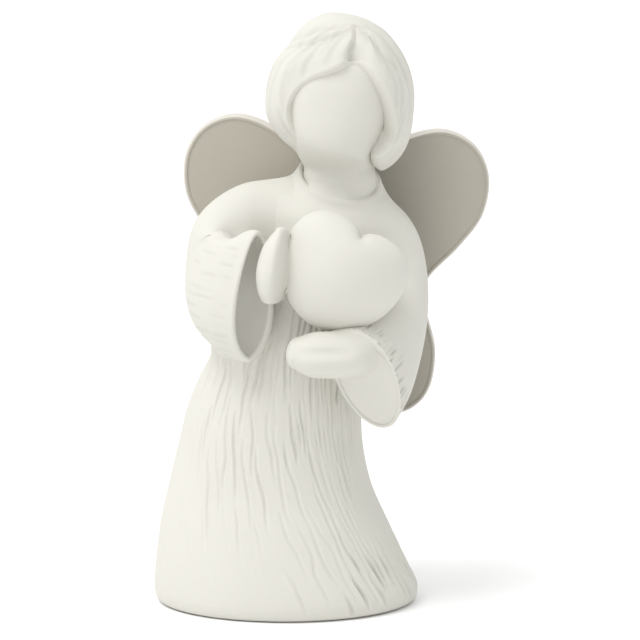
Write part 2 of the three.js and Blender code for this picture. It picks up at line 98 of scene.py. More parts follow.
def closed_skin(name, rings):
    """A closed mesh through rings of points, each end closed to its middle. U runs round, V along."""
    rings = np.array(rings)
    count, sides = rings.shape[:2]
    points = np.concatenate([rings.reshape(-1, 3), [rings[0].mean(0)], [rings[-1].mean(0)]]) * MM
    first, last = count * sides, count * sides + 1
    faces, corners = [], []
    for i in range(count - 1):
        for j in range(sides):
            a, b = i * sides + j, i * sides + (j + 1) % sides
            faces.append((a, b, b + sides, a + sides))
            left, right, low, high = j / sides, (j + 1) / sides, i / (count - 1), (i + 1) / (count - 1)
            corners += [left, low, right, low, right, high, left, high]
    for j in range(sides):
        a, b = j, (j + 1) % sides
        left, right = j / sides, (j + 1) / sides
        faces.append((first, b, a))
        corners += [left, 0, right, 0, left, 0]
        faces.append((last, first - sides + a, first - sides + b))
        corners += [left, 1, left, 1, right, 1]
    mesh = bpy.data.meshes.new(name)
    mesh.from_pydata(points.tolist(), [], faces)
    mesh.uv_layers.new(name="UVMap").data.foreach_set("uv", corners)
    mesh.shade_smooth()
    piece = bpy.data.objects.new(name, mesh)
    bpy.context.scene.collection.objects.link(piece)
    volume = sum(mesh.vertices[p.vertices[0]].co.dot(p.normal) * p.area for p in mesh.polygons)
    if volume < 0:
        mesh.flip_normals()
    return piece


def add_node(tree, kind, *feeds, **settings):
    """Adds a node. The feeds fill its live inputs in order, and None leaves one as it is."""
    made = tree.nodes.new(kind)
    for key, value in settings.items():
        setattr(made, key, value)
    live = [socket for socket in made.inputs if socket.enabled]
    for socket, feed in zip(live, feeds):
        if isinstance(feed, bpy.types.NodeSocket):
            tree.links.new(feed, socket)
        elif feed is not None:
            socket.default_value = feed
    return made


def out(node, name=None):
    live = [socket for socket in node.outputs if socket.enabled]
    return next(socket for socket in live if name in (None, socket.name))


def maths(tree, operation, *feeds, clamp=False):
    return out(add_node(tree, "ShaderNodeMath", *feeds, operation=operation, use_clamp=clamp))


def new_tree(name, inputs, outputs, kind="GeometryNodeTree"):
    """A node tree with named sockets: inputs are (kind of socket, name, starting value)."""
    tree = bpy.data.node_groups.new(name, kind)
    for socket_kind, label, value in inputs:
        socket = tree.interface.new_socket(label, in_out="INPUT", socket_type="NodeSocket" + socket_kind)
        if value is not None:
            socket.default_value = value
    for socket_kind, label in outputs:
        tree.interface.new_socket(label, in_out="OUTPUT", socket_type="NodeSocket" + socket_kind)
    start, end = tree.nodes.new("NodeGroupInput"), tree.nodes.new("NodeGroupOutput")
    return tree, {socket.name: socket for socket in start.outputs if socket.name}, end


def scaled(tree, colour, factor):
    """A colour made lighter or darker by a factor."""
    node = add_node(tree, "ShaderNodeVectorMath", colour, operation="SCALE")
    tree.links.new(factor, node.inputs["Scale"])
    return out(node)


def make_cast_skin():
    """What every face shares: a faint cloudy tone, specks, painted shade in cuts, and a fine grain in relief.
    """
    tree, given, end = new_tree(
        "cast_skin",
        [("Color", "Tone", (0.8, 0.8, 0.76, 1)), ("Float", "Cloud", 0.05), ("Float", "Cut", 0.2),
         ("Float", "Roughness", 0.7), ("Float", "Grain", 1400.0)],
        [("Color", "Tone"), ("Float", "Roughness"), ("Float", "Height")],
        "ShaderNodeTree",
    )
    place = out(add_node(tree, "ShaderNodeTexCoord"), "Object")
    cloud = out(add_node(tree, "ShaderNodeTexNoise", place, 38.0, 3.0, 0.55, noise_dimensions="3D"))
    speck = out(add_node(tree, "ShaderNodeTexNoise", place, 420.0, 2.0, 0.6, noise_dimensions="3D"))
    grain = out(add_node(tree, "ShaderNodeTexNoise", place, given["Grain"], 3.0, 0.6, noise_dimensions="3D"))
    clouded = maths(tree, "MULTIPLY", maths(tree, "SUBTRACT", cloud, 0.5), given["Cloud"])
    specked = maths(tree, "MULTIPLY", maths(tree, "SUBTRACT", speck, 0.5), given["Cloud"])
    carved = out(add_node(tree, "ShaderNodeAttribute", attribute_name="carved"), "Fac")
    uneven = maths(tree, "MULTIPLY_ADD", specked, 0.5, maths(tree, "ADD", clouded, 1.0))
    # Painted shade: the tone is darkened along the carved grooves, most at their middles.
    value = maths(tree, "SUBTRACT", uneven, maths(tree, "MULTIPLY", carved, given["Cut"]))
    tree.links.new(scaled(tree, given["Tone"], value), end.inputs["Tone"])
    rough = maths(tree, "MULTIPLY_ADD", clouded, -1.5, given["Roughness"])
    tree.links.new(rough, end.inputs["Roughness"])
    tree.links.new(maths(tree, "MULTIPLY_ADD", speck, 0.6, grain), end.inputs["Height"])
    return tree


def coated(name, skin_values, relief, relief_height, metallic=0.0, specular=0.35):
    """A material over the cast skin: its values, how strong its relief is, and how high, in metres."""
    material = bpy.data.materials.new(name)
    material.use_nodes = True
    tree = material.node_tree
    shader = tree.nodes["Principled BSDF"]
    shader.inputs["Metallic"].default_value = metallic
    shader.inputs["Specular IOR Level"].default_value = specular
    skin = add_node(tree, "ShaderNodeGroup", node_tree=cast_skin)
    for label, value in skin_values.items():
        skin.inputs[label].default_value = value
    bump = add_node(tree, "ShaderNodeBump")
    bump.inputs["Strength"].default_value = relief
    bump.inputs["Distance"].default_value = relief_height
    tree.links.new(skin.outputs["Tone"], shader.inputs["Base Color"])
    tree.links.new(skin.outputs["Roughness"], shader.inputs["Roughness"])
    tree.links.new(skin.outputs["Height"], bump.inputs["Height"])
    tree.links.new(bump.outputs["Normal"], shader.inputs["Normal"])
    return material, skin


cast_skin = make_cast_skin()
# The resin darkens its carved grooves a little, as painted shade.
resin, _ = coated(
    "matt_resin",
    {"Tone": (0.627, 0.617, 0.562, 1), "Cloud": 0.05, "Cut": 0.14, "Roughness": 0.68, "Grain": 1500.0},
    0.35, 0.00012,
)

gown_low, gown_high, _ = box_of("gown")
hem = (gown_high[0] - gown_low[0]) / 2 - 0.2  # half the hem's width
hem_depth = (gown_high[1] - gown_low[1]) / 2 - 0.1
collar_height = gown_high[2] - 5.9  # the middle of the sloping collar
collar = np.array([14.5, 0.3, collar_height])
waist, waist_depth = 0.607 * hem, 0.617 * hem_depth
chest, chest_depth = 0.457 * hem, 0.587 * hem_depth
lean = -0.167  # how the shoulders fall towards +X, as a slope
neck_radius = 9.6
collar_wall = 1.5


def level(height):
    return height * collar_height / 116


# Rows of [height, centre x, centre y, half width, half depth, slope in x, slope in y].
gown_rows = [
    [0.5 * gown_low[2], 0, 0, hem - 1.9, hem_depth - 1.7, 0, 0],
    [level(0.75), 0, 0, hem - 0.7, hem_depth - 0.6, 0, 0],
    [level(2.0), 0, 0, hem - 0.1, hem_depth - 0.1, 0, 0],
    [level(5), -0.3, 0, hem, hem_depth, 0, 0],
    [level(12), -1.7, 0, hem - 2, hem_depth - 1.2, 0, 0],
    [level(22.5), -3.4, 0.2, 0.64 * hem + 0.36 * waist, hem_depth - 3.7, 0, 0],
    [level(32), -4.4, 0.4, 0.42 * hem + 0.58 * waist, waist_depth + 4.8, 0, 0],
    [level(43), -4.3, 0.4, 0.24 * hem + 0.76 * waist, waist_depth + 2.7, 0, 0],
    [level(55), -3, 0.2, waist + 1.6, waist_depth + 1.2, 0, 0],
    [level(66), -0.4, 0, waist - 0.8, waist_depth, 0, 0],
    [level(78), 5, 0, chest + 2, chest_depth + 0.4, 0.3 * lean, 0],
    [level(90), 9.4, 0, chest + 0.3, chest_depth, 0.6 * lean, 0],
    [level(99), 11.4, 0.2, chest, chest_depth - 0.6, 0.85 * lean, 0.02],
    [level(106.5), 12.6, 0.3, chest, chest_depth - 2.4, lean, 0.1],
    [level(111.5), 13.5, 0.3, chest - 2.2, chest_depth - 4.3, lean, 0.26],
    [level(114.3), 14.3, 0.3, neck_radius + 2.9, neck_radius + 2.5, lean, 0.42],
    [collar_height, 14.5, 0.3, neck_radius + 1.8, neck_radius + 1.8, lean, 0.5],
]
GOWN_SIDES, GOWN_LEVELS = 560, 146

turn = np.linspace(-math.pi, math.pi, GOWN_SIDES, endpoint=False)


def gown_ring(row):
    """A level ring of the gown. Its columns follow the sweep of the carved strokes."""
    z, cx, cy, width, depth, slope_x, slope_y = row
    from_fold = (turn - math.radians(12)) / math.radians(24)
    sweep = math.radians(16) + math.radians(14) * np.exp(-(from_fold**2))
    below = max(level(64) - z, 0) / level(64)
    above = -math.radians(0.8) * min(max(z - level(64), 0), 30)
    angle = turn + sweep * below + above
    x, y = width * np.sin(angle), -depth * np.cos(angle)
    return np.stack([cx + x, cy + y, z + slope_x * x + slope_y * y], axis=1)


outside = smooth_rows(gown_rows, GOWN_LEVELS, [0, 3])
seat = outside[0].copy()
seat[3:5] = hem - 4.2, hem_depth - 4.2
felt_ceiling = seat.copy()
felt_ceiling[0] = 1.4
middle_ring = felt_ceiling.copy()
middle_ring[3:5] *= 0.4
lip = []
for angle in np.radians([30, 60, 90, 120, 150, 180]):
    row = outside[-1].copy()
    row[0] += 0.5 * collar_wall * math.sin(angle)
    row[3:5] -= 0.5 * collar_wall * (1 - math.cos(angle))
    lip.append(row)
socket_rows = [lip[-1].copy() for _ in range(3)]
for row, depth, slope in zip(socket_rows, (3, 6, 9), (0.6, 0.2, 0)):
    row[0] -= depth
    row[5:7] *= slope
gown_rings = [gown_ring(row) for row in [middle_ring, felt_ceiling, seat, *outside, *lip, *socket_rows]]
gown_base = closed_skin("gown_casting", gown_rings)

# ---- Sleeves ----------------------------------------------------------------------------------------
# The sleeves are cast apart, because the mould can't reach round the arms. The right one swells into
# a bag at the elbow and closes to a tall slit. The left one hangs and opens forwards in a shallow,
# leaning oval. Both are hollow only a little way in, and are bonded over a pin at the shoulder.

SLEEVE_SIDES, SLEEVE_LEVELS = 400, 110


def unit(vectors):
    return vectors / np.linalg.norm(vectors, axis=-1, keepdims=True)


def smooth_step(values, low, high):
    share = np.clip((values - low) / (high - low), 0, 1)
    return share * share * (3 - 2 * share)


def tube_frames(rows, steady, turned, count):
    """A bent tube's rows, centres, and at each the way along, up and right of its oval."""
    fine = smooth_rows(rows, count, [0, 1, 2])
    centres = fine[:, :3]
    along = unit(np.gradient(centres, axis=0))
    reach = count // 5
    padded = np.concatenate([np.repeat(along[:1], reach, 0), along, np.repeat(along[-1:], reach, 0)])
    window = np.hanning(2 * reach + 1)
    along = unit(np.stack([np.convolve(column, window, "valid") for column in padded.T], axis=1))
    steady = np.array(steady, float)
    up = unit(steady - (along @ steady)[:, None] * along)
    angle = math.radians(turned)
    up = up * math.cos(angle) + np.cross(along, up) * math.sin(angle)
    return fine, centres, along, up, np.cross(up, along)


def oval(centre, right, up, width, height, sides, taper=0.0, pointed=0.0):
    """An oval ring. A taper makes it a teardrop, narrow at the top, and pointed draws in its lower end."""
    angle = np.linspace(0, 2 * math.pi, sides, endpoint=False)[:, None]
    across = width * np.cos(angle) * (1 - taper * np.sin(angle))
    across *= np.abs(np.cos(angle)) ** (pointed * np.maximum(-np.sin(angle), 0))
    return centre + right * across + up * height * np.sin(angle)


def sleeve_rings(rows, steady, turned, wall, hollow, taper, pointed=0.0):
    """A sleeve as one skin: outside, rounded lip of the mouth, and the bowl inside it."""
    fine, centres, along, up, right = tube_frames(rows, steady, turned, SLEEVE_LEVELS)
    rings = []
    for angle in np.radians([75, 55, 35, 18]):
        middle = centres[0] - along[0] * 0.5 * fine[0, 3] * math.sin(angle)
        width, height = fine[0, 3:5] * math.cos(angle)
        rings.append(oval(middle, right[0], up[0], width, height, SLEEVE_SIDES))
    tapers = taper * smooth_step(np.linspace(0, 1, len(fine)), 0.35, 0.95)
    for row, centre, side, top, narrow in zip(fine, centres, right, up, tapers):
        drawn_in = pointed * narrow / (taper or 1)
        rings.append(oval(centre, side, top, row[3], row[4], SLEEVE_SIDES, narrow, drawn_in))
    width, height = fine[-1, 3:5]
    for angle in np.radians(np.arange(15, 181, 15)):
        inwards = 0.5 * wall * (1 - math.cos(angle))
        middle = centres[-1] + along[-1] * 0.5 * wall * math.sin(angle)
        size = (width - inwards, height - inwards)
        rings.append(oval(middle, right[-1], up[-1], *size, SLEEVE_SIDES, taper, pointed))
    shaped, reach = np.array(rings), 12
    window = np.hanning(2 * reach + 1) / np.hanning(2 * reach + 1).sum()
    padded = np.concatenate([np.repeat(shaped[:1], reach, 0), shaped, np.repeat(shaped[-1:], reach, 0)])
    eased = sum(share * padded[k : k + len(shaped)] for k, share in enumerate(window))
    firm = smooth_step(np.arange(len(shaped)), 0.66 * len(shaped), 0.84 * len(shaped))[:, None, None]
    rings = list(eased + (shaped - eased) * firm)
    travelled = np.concatenate([[0], np.cumsum(np.linalg.norm(np.diff(centres, axis=0), axis=1))])
    for angle in np.radians(np.arange(4, 88, 4)):
        back = travelled[-1] - hollow * math.sin(angle)
        middle = np.array([np.interp(back, travelled, column) for column in centres.T])
        size = (np.array([width, height]) - wall) * math.cos(angle) ** 0.75
        rings.append(oval(middle, right[-1], up[-1], *size, SLEEVE_SIDES, taper, pointed))
    return rings


heart_centre = box_of("heart")[2] + [-0.5, 0.05, 0.8]
heart_width = 17.0
right_hand_centre = heart_centre + [-heart_width - 1.6, -3.6, 1]
left_hand_centre = heart_centre + [-4.6, -4.6, -22.7]
right_shoulder = collar + [-chest + 2, 2.7, -7.6]
left_shoulder = collar + [chest - 6.5, 2.7, -10.7]
right_mouth = right_hand_centre + [-5.6, 4.4, -8.8]
left_mouth = left_hand_centre + [11.4, 4, -7.2]
right_elbow = (right_shoulder + right_mouth) / 2
left_elbow = (left_shoulder + left_mouth) / 2

# Rows of [x, y, z, half width, half height], from the shoulder to the mouth.
right_sleeve_rows = [
    [*(right_shoulder + [1, 0, -1.4]), 7, 7.8],
    [*(right_shoulder + [-6, -1, -3]), 10.4, 10.8],
    [*(right_elbow + [-9.6, 8.2, 0.8]), 11.3, 13.4],
    [*(right_mouth + [-7, 16, 2.5]), 11.6, 17],
    [*(right_mouth + [-5.8, 7.4, 1]), 9.8, 17.4],
    [*right_mouth, 7, 18],
]
left_sleeve_rows = [
    [*(left_shoulder + [-1.4, 0, -0.6]), 7.2, 7.4],
    [*(left_shoulder + [2.0, -0.5, -6.2]), 9.6, 9.6],
    [*(left_elbow + [5.1, 11.8, 3.6]), 10, 10.5],
    [*(left_mouth + [5.6, 18.5, 12.8]), 10, 11.5],
    [*(left_mouth + [2.6, 9, 3.8]), 9.3, 14.0],
    [*(left_mouth + [-0.6, 0, 0.2]), 8.8, 15.0],
]


def pressed_in(rings, place, radius, push):
    """Rings with a soft dent round a place."""
    rings = np.array(rings)
    away = np.linalg.norm(rings - place, axis=2, keepdims=True) / radius
    return rings + np.array(push) * np.exp(-(away**2))


right_rings = sleeve_rings(right_sleeve_rows, (0, 0, 1), 0, 1.6, 6.5, 0.3, 0.3)
right_rings = pressed_in(right_rings, right_mouth + [-3.8, 6.0, 17.0], 3.9, (0, 1.0, -5.0))
right_sleeve = closed_skin("right_sleeve_casting", right_rings)
left_rings = sleeve_rings(left_sleeve_rows, (-0.72, 0.49, -0.46), -105, 1.0, 0.2, -0.06)
left_sleeve = closed_skin("left_sleeve_casting", left_rings)

# ---- Hands ------------------------------------------------------------------------------------------
# The hands are plain mittens with no fingers. The right one stands flat against the heart's side, and
# the left one lies palm up under it. Each wrist runs back into its sleeve and is bonded there.


def rounded_tube(name, rows, steady, turned, caps, sides=120, count=70):
    """A closed tube whose ends are domes. Caps are how far each dome stands out."""
    fine, centres, along, up, right = tube_frames(rows, steady, turned, count)
    rings = []
    for angle in np.radians([84, 72, 60, 48, 36, 24, 12]):
        middle = centres[0] - along[0] * caps[0] * math.sin(angle)
        rings.append(oval(middle, right[0], up[0], *(fine[0, 3:5] * math.cos(angle)), sides))
    for row, centre, side, top in zip(fine, centres, right, up):
        rings.append(oval(centre, side, top, row[3], row[4], sides))
    for angle in np.radians([12, 24, 36, 48, 60, 72, 84]):
        middle = centres[-1] + along[-1] * caps[1] * math.sin(angle)
        rings.append(oval(middle, right[-1], up[-1], *(fine[-1, 3:5] * math.cos(angle)), sides))
    return closed_skin(name, rings)


palm = right_hand_centre
right_palm = rounded_tube(
    "right_hand_casting",
    [
        [*(palm + [-0.2, 1.2, -8.6]), 3.2, 3.8],
        [*(palm + [-0.3, 0.7, -6]), 4.0, 5.1],
        [*(palm + [0, 0.2, -1.6]), 4.5, 5.9],
        [*(palm + [0.9, 0.4, 4]), 3.8, 5.2],
        [*(palm + [2.4, 0.8, 8.6]), 2.0, 3.0],
    ],
    (0, -1, 0), 0, (1.4, 1.6),
)
for vertex in right_palm.data.vertices:
    x, y, z = np.array(vertex.co) / MM - palm
    turned_away = smooth_step(x - 0.14 * z, -0.6, 4.6) * smooth_step(y, 1, -2)
    vertex.co.y += 3.4 * MM * turned_away
palm = left_hand_centre
left_palm = rounded_tube(
    "left_hand_casting",
    [
        [*(palm + [-8, -0.1, 0.6]), 5.0, 4.2],
        [*(palm + [-4, -0.3, 0.2]), 6.4, 5.9],
        [*(palm + [1, -0.1, 0]), 6.7, 6.2],
        [*(palm + [6.5, 0.8, -0.5]), 6.0, 5.6],
        [*(left_mouth + [-1.6, 0.5, 6]), 4.8, 4.8],
        [*(left_mouth + [1.4, 5.5, 5.8]), 3.6, 3.6],
    ],
    (0, 0, 1), 0, (2.6, 1.0),
)


def crease(piece, centre, half_length, half_width, depth):
    """Presses a soft level crease into a piece's front."""
    for vertex in piece.data.vertices:
        x, y, z = np.array(vertex.co) / MM - centre
        inside = math.exp(-((z / half_width) ** 2)) * max(1 - (x / half_length) ** 2, 0)
        if y < 0:
            vertex.co.y += depth * MM * inside


crease(left_palm, left_hand_centre + [-1.0, 0, 1.4], 9.0, 1.5, 0.9)

# ---- Heart ------------------------------------------------------------------------------------------
# The heart is a puffed casting with full lobes and a blunt point. It leans with the head, rests on
# the left palm, and is bonded to the chest over a pin.

HEART_SIDES = 220
heart_top, heart_notch, heart_drop, heart_half = 12.0, 9.2, 17.5, 10.0
heart_roll = math.radians(28.5)


def turned(a, b, angle):
    """Two coordinates turned by an angle, from the first towards the second."""
    return a * math.cos(angle) - b * math.sin(angle), a * math.sin(angle) + b * math.cos(angle)


def curve_points(corners, count):
    """Points on a cubic curve between its first and last corner."""
    t = np.linspace(0, 1, count, endpoint=False)[:, None]
    a, b, c, d = (np.array(p, float) for p in corners)
    return (1 - t) ** 3 * a + 3 * (1 - t) ** 2 * t * b + 3 * (1 - t) * t * t * c + t**3 * d


def evenly(points, count):
    """A closed line of points sampled again at even steps."""
    loop = np.concatenate([points, points[:1]])
    length = np.concatenate([[0], np.cumsum(np.linalg.norm(np.diff(loop, axis=0), axis=1))])
    wanted = np.linspace(0, length[-1], count, endpoint=False)
    return np.stack([np.interp(wanted, length, column) for column in loop.T], axis=1)


w, top = heart_width, heart_top
half = [
    [(0, heart_notch), (0.1 * w, top + 0.4), (0.34 * w, top + 0.6), (0.52 * w, top)],
    [(0.52 * w, top), (0.82 * w, 0.92 * top), (w, 0.6 * top), (w, 0.12 * top)],
    [(w, 0.12 * top), (w, -0.58 * heart_drop), (0.46 * w, -heart_drop), (0, -heart_drop)],
]
other_half = [[(-x, z) for x, z in reversed(piece)] for piece in reversed(half)]
edge = evenly(np.concatenate([curve_points(piece, 60) for piece in half + other_half]), HEART_SIDES)
rings = []
for angle in np.radians(np.linspace(2, 178, 90)):
    share = math.sin(angle) ** 0.85
    dome = edge * (heart_top / np.linalg.norm(edge, axis=1, keepdims=True))
    reach = int(2 + 46 * (1 - share))
    window = np.hanning(2 * reach + 1) / np.hanning(2 * reach + 1).sum()
    wrapped = np.concatenate([edge[-reach:], edge, edge[:reach]])
    soft = np.stack([np.convolve(column, window, "valid") for column in wrapped.T], axis=1)
    flat = (dome + (soft - dome) * share**3) * share
    x, z = turned(*flat.T, -heart_roll)
    rings.append(heart_centre + np.stack([x, np.full(len(x), heart_half * math.cos(angle)), z], axis=1))
heart = closed_skin("heart_casting", rings)

# ---- Head -------------------------------------------------------------------------------------------
# Head, neck and the spigot that seats in the collar are one casting. The face is left blank on
# purpose, a smooth egg that narrows to a soft chin over the neck.

head_roll = math.radians(10)
head_centre = collar + [0.1, -1.1, 22.1]


def in_head_frame(points):
    """Points given about the middle of the head, turned with its lean and put in place."""
    x, y, z = np.moveaxis(points, -1, 0)
    x, z = turned(x, z, -head_roll)
    return head_centre + np.stack([x, y, z], axis=-1)


def neck_row(height, width):
    """A level ring of the neck, put in the head's own frame."""
    x, z = turned(collar[0] - head_centre[0], height - head_centre[2], head_roll)
    return [z, x, collar[1] - head_centre[1], width, width, math.tan(head_roll)]


# Rows of [height, centre x, centre y, half width, half depth, slope in x] in the head's frame.
head_rows = [
    neck_row(collar[2] - 8.4, 8.2),
    neck_row(collar[2] - 4, neck_radius),
    neck_row(collar[2] + 1, neck_radius),
    neck_row(collar[2] + 3.6, neck_radius - 0.1),
    [-16.2, 2.2, -0.5, 10.1, 10.6, 0.15],
    [-14.2, 1.1, -1.7, 10.6, 12.4, 0.08],
    [-11.8, 0.4, -2.1, 11.4, 13.5, 0.03],
    [-7.5, 0, -1.6, 13.1, 14.7, 0],
    [-1, 0, -0.5, 15, 15.8, 0],
    [5, 0, 0, 15, 15.8, 0],
    [11, 0, 0.2, 12.9, 13.8, 0],
    [15.4, 0, 0.4, 7.6, 8.2, 0],
    [17.2, 0, 0.4, 3, 3.2, 0],
]
fine = smooth_rows(head_rows, 130, [0, 3, 4])
angle = np.linspace(0, 2 * math.pi, 180, endpoint=False)
rings = []
for z, cx, cy, width, depth, slope in fine:
    square = 1 - 0.16 * smooth_step(-np.cos(angle), -0.1, 0.5) * smooth_step(abs(z + 1), 16, 9)
    x = width * np.sign(np.cos(angle)) * np.abs(np.cos(angle)) ** square
    y = depth * np.sign(np.sin(angle)) * np.abs(np.sin(angle)) ** square
    rings.append(in_head_frame(np.stack([cx + x, cy + y, z + slope * x], axis=1)))
head = closed_skin("head_casting", rings)

# ---- Hair -------------------------------------------------------------------------------------------
# The hair is a bob cast as a thick shell that slips over the head. Its locks all start at a whorl on
# the crown, sweep across the brow and down the sides, and turn in at the jaw and the nape.

HAIR_SIDES, HAIR_LEVELS, PARTING_POINTS = 460, 150, 90
bob_radius = 20.0  # the mean radius of the bob, which turns angles into lengths
hair_wall = 4.0  # the least thickness of the shell

# The outside of the bob: rows of [angle from the crown, height, centre x, centre y, half width, half depth].
bob_rows = np.array([
    [0, 22.9, -1.9, 0, 0.01, 0.01],
    [15, 22.2, -1.7, 0, 5.7, 5.8],
    [35, 19.0, -0.7, 0.2, 11.4, 11.8],
    [55, 13.2, 0.0, 0.3, 16.0, 16.4],
    [75, 6.5, 0.1, 0.5, 19.3, 19.0],
    [95, -1.5, 0.2, 0.6, 20.4, 19.6],
    [112, -8, 0.8, 0.9, 19.7, 18.8],
    [128, -13.1, 2.1, 1.8, 16.9, 16.6],
    [143, -16.9, 3.6, 2.8, 12.6, 13.0],
    [158, -19, 3.9, 3, 8.5, 9],
    [180, -19.8, 4.1, 3, 0.01, 0.01],
])


def on_bob(directions, thickness=0.0):
    """Points of the bob's outside, or of its inside at a thickness, in the directions given."""
    directions = unit(directions)
    round_angle = np.arctan2(directions[..., 0], -directions[..., 1])
    down = np.degrees(np.arccos(np.clip(directions[..., 2], -1, 1)))
    z, cx, cy, width, depth = (np.interp(down, bob_rows[:, 0], column) for column in bob_rows.T[1:])
    shrink = 1 - thickness / bob_radius
    x = cx + shrink * width * np.sin(round_angle)
    return np.stack([x, cy - shrink * depth * np.cos(round_angle), shrink * z], axis=-1)


def heading(round_angle, down):
    """The direction at an angle round from the front and an angle down from the crown, in degrees."""
    a, b = math.radians(round_angle), math.radians(down)
    return np.array([math.sin(a) * math.sin(b), -math.cos(a) * math.sin(b), math.cos(b)])


bob_rows = smooth_rows(bob_rows, 400, [1, 4])

whorl = heading(14, 22)
# Where the locks end, round the hair's edge: [round, down] of the end, then of the way they bow to it,
# then how far the hair thins towards the end, and how thick its edge is there.
lock_ends = [
    [10, 54, 12, 38, 2.8, 1.8],
    [2, 56, 5, 39, 2.4, 2.2],
    [-5, 59, 0, 40, 0.9, 3.8],
    [-15, 65, -11, 43, 1.0, 3.6],
    [-27, 72, -23, 48, 1.4, 3.2],
    [-40, 82, -41, 54, 1.6, 3.0],
    [-48, 95, -53, 62, 1.5, 3.2],
    [-49, 108, -62, 70, 1.3, 3.4],
    [-46, 120, -70, 77, 1.1, 3.6],
    [-44, 131, -78, 82, 0.9, 3.6],
    [-62, 140, -90, 84, 0.6, 3.6],
    [-98, 144, -112, 84, 0.4, 4.0],
    [-140, 148, -142, 84, 0.4, 4.0],
    [180, 148, 176, 82, 0.4, 4.0],
    [140, 148, 134, 84, 0.4, 4.0],
    [98, 146, 116, 86, 0.4, 4.0],
    [67, 144, 106, 88, 0.3, 4.2],
    [49, 137, 97, 88, 0.2, 4.6],
    [44, 128, 87, 84, 0.2, 4.8],
    [50, 118, 75, 77, 0.2, 5.0],
    [54, 107, 63, 67, 0.2, 5.0],
    [50, 95, 52, 58, 0.2, 5.0],
    [43, 83, 39, 50, 0.2, 5.0],
    [34, 71, 32, 45, 0.4, 4.8],
    [25, 61, 24, 41, 1.1, 4.0],
    [17, 55, 18, 39, 2.2, 2.6],
]
ends = [[*heading(a, b), *heading(c, d), *rest] for a, b, c, d, *rest in lock_ends]
lines = smooth_rows(ends, HAIR_SIDES, [0, 1, 2], closed=True)
ends, bows, thinning, edge_thick = unit(lines[:, :3]), unit(lines[:, 3:6]), lines[:, 6], lines[:, 7]


def lock_direction(share):
    return unit((1 - share) ** 2 * whorl + 2 * share * (1 - share) * bows + share**2 * ends)


# The partings between locks, as [round, down] points outwards from the whorl. Each has its depth, then
# how far it spreads to the left and to the right of its line.
partings = [
    (1.2, 1.3, 1.9, [[0, 26], [-12, 30], [-29, 33], [-48, 39], [-64, 47], [-93, 57], [-112, 70]]),
    (1.3, 1.5, 2.8, [[5, 28], [-8, 35], [-22, 41], [-37, 47], [-54, 53], [-74, 59], [-95, 67]]),
    (1.5, 1.2, 2.8, [[13, 23], [11, 32], [8, 42], [3, 50], [-2, 57]]),
    (0.4, 2.0, 2.6, [[-60, 66], [-76, 80], [-86, 94], [-92, 110]]),
    (0.9, 2.0, 1.4, [[27, 23], [39, 25], [50, 30], [59, 38], [64, 56], [72, 74], [84, 92]]),
    (0.9, 2.0, 1.4, [[24, 30], [34, 40], [44, 52], [56, 60], [68, 68], [80, 80]]),
    (0.4, 2.4, 2.4, [[22, 42], [30, 50], [40, 60], [50, 72], [57, 88], [61, 106], [62, 124]]),
    (0.4, 2.2, 1.8, [[66, 76], [60, 84], [58, 96], [64, 112]]),
    (0.8, 0.9, 1.8, [[72, 112], [60, 120], [48, 128]]),
    (0.35, 1.6, 1.6, [[-62, 84], [-58, 100], [-56, 116], [-54, 130]]),
    (0.7, 2, 2, [[-120, 30], [-140, 60], [-138, 90], [-140, 140]]),
    (0.7, 2, 2, [[170, 30], [165, 60], [160, 90], [165, 142]]),
    (0.7, 2, 2, [[90, 36], [112, 60], [112, 90], [118, 140]]),
    (0.5, 1.6, 1.6, [[-175, 50], [-178, 90], [-176, 142]]),
    (0.5, 1.6, 1.6, [[140, 50], [138, 90], [142, 142]]),
    (0.5, 1.6, 1.6, [[88, 60], [94, 90], [98, 138]]),
    (0.5, 1.6, 1.6, [[-106, 70], [-114, 95], [-118, 138]]),
]


def parted(ways):
    """How deep the partings cut the bob in the directions given, in mm."""
    cut = np.zeros(len(ways))
    for depth, left, right, route in partings:
        line = unit(smooth_rows([heading(a, b) for a, b in route], PARTING_POINTS, [0, 1, 2]))
        nearest = np.argmax(ways @ line.T, axis=1)
        onwards = unit(np.gradient(line, axis=0))
        across = unit(np.cross(line, onwards))
        away = ways - line[nearest]
        aside = bob_radius * np.sum(away * across[nearest], axis=1)
        beyond = bob_radius * np.abs(np.sum(away * onwards[nearest], axis=1))
        shape = np.exp(-np.abs(aside / np.where(aside < 0, left, right)) ** 1.3)
        ease = np.sin(math.pi * (nearest + 1) / (PARTING_POINTS + 2)) ** 0.6
        cut = np.maximum(cut, depth * shape * ease * np.exp(-((beyond / 0.8) ** 2)))
    return cut


def ramp(tree, value, low, high, to_low=0.0, to_high=1.0):
    return out(add_node(tree, "ShaderNodeMapRange", value, low, high, to_low, to_high,
                        interpolation_type="SMOOTHSTEP"))


def read(tree, name, kind="FLOAT"):
    """A named attribute of the surface."""
    return out(add_node(tree, "GeometryNodeInputNamedAttribute", name, data_type=kind))


def keep(tree, geometry, name, value, kind="FLOAT"):
    """The geometry with a value stored on its points by name."""
    node = "GeometryNodeStoreNamedAttribute"
    return out(add_node(tree, node, geometry, True, name, value, data_type=kind, domain="POINT"))


def moved_along(tree, geometry, way, amount):
    """The geometry with each point moved by an amount along a way."""
    move = add_node(tree, "ShaderNodeVectorMath", way, operation="SCALE")
    tree.links.new(amount, move.inputs["Scale"])
    return out(add_node(tree, "GeometryNodeSetPosition", geometry, True, None, out(move)))


def finish_tree(tree, geometry, material, end):
    real = add_node(tree, "GeometryNodeRealizeInstances", geometry)
    dressed = add_node(tree, "GeometryNodeSetMaterial", out(real), True, material)
    tree.links.new(out(dressed), end.inputs[0])


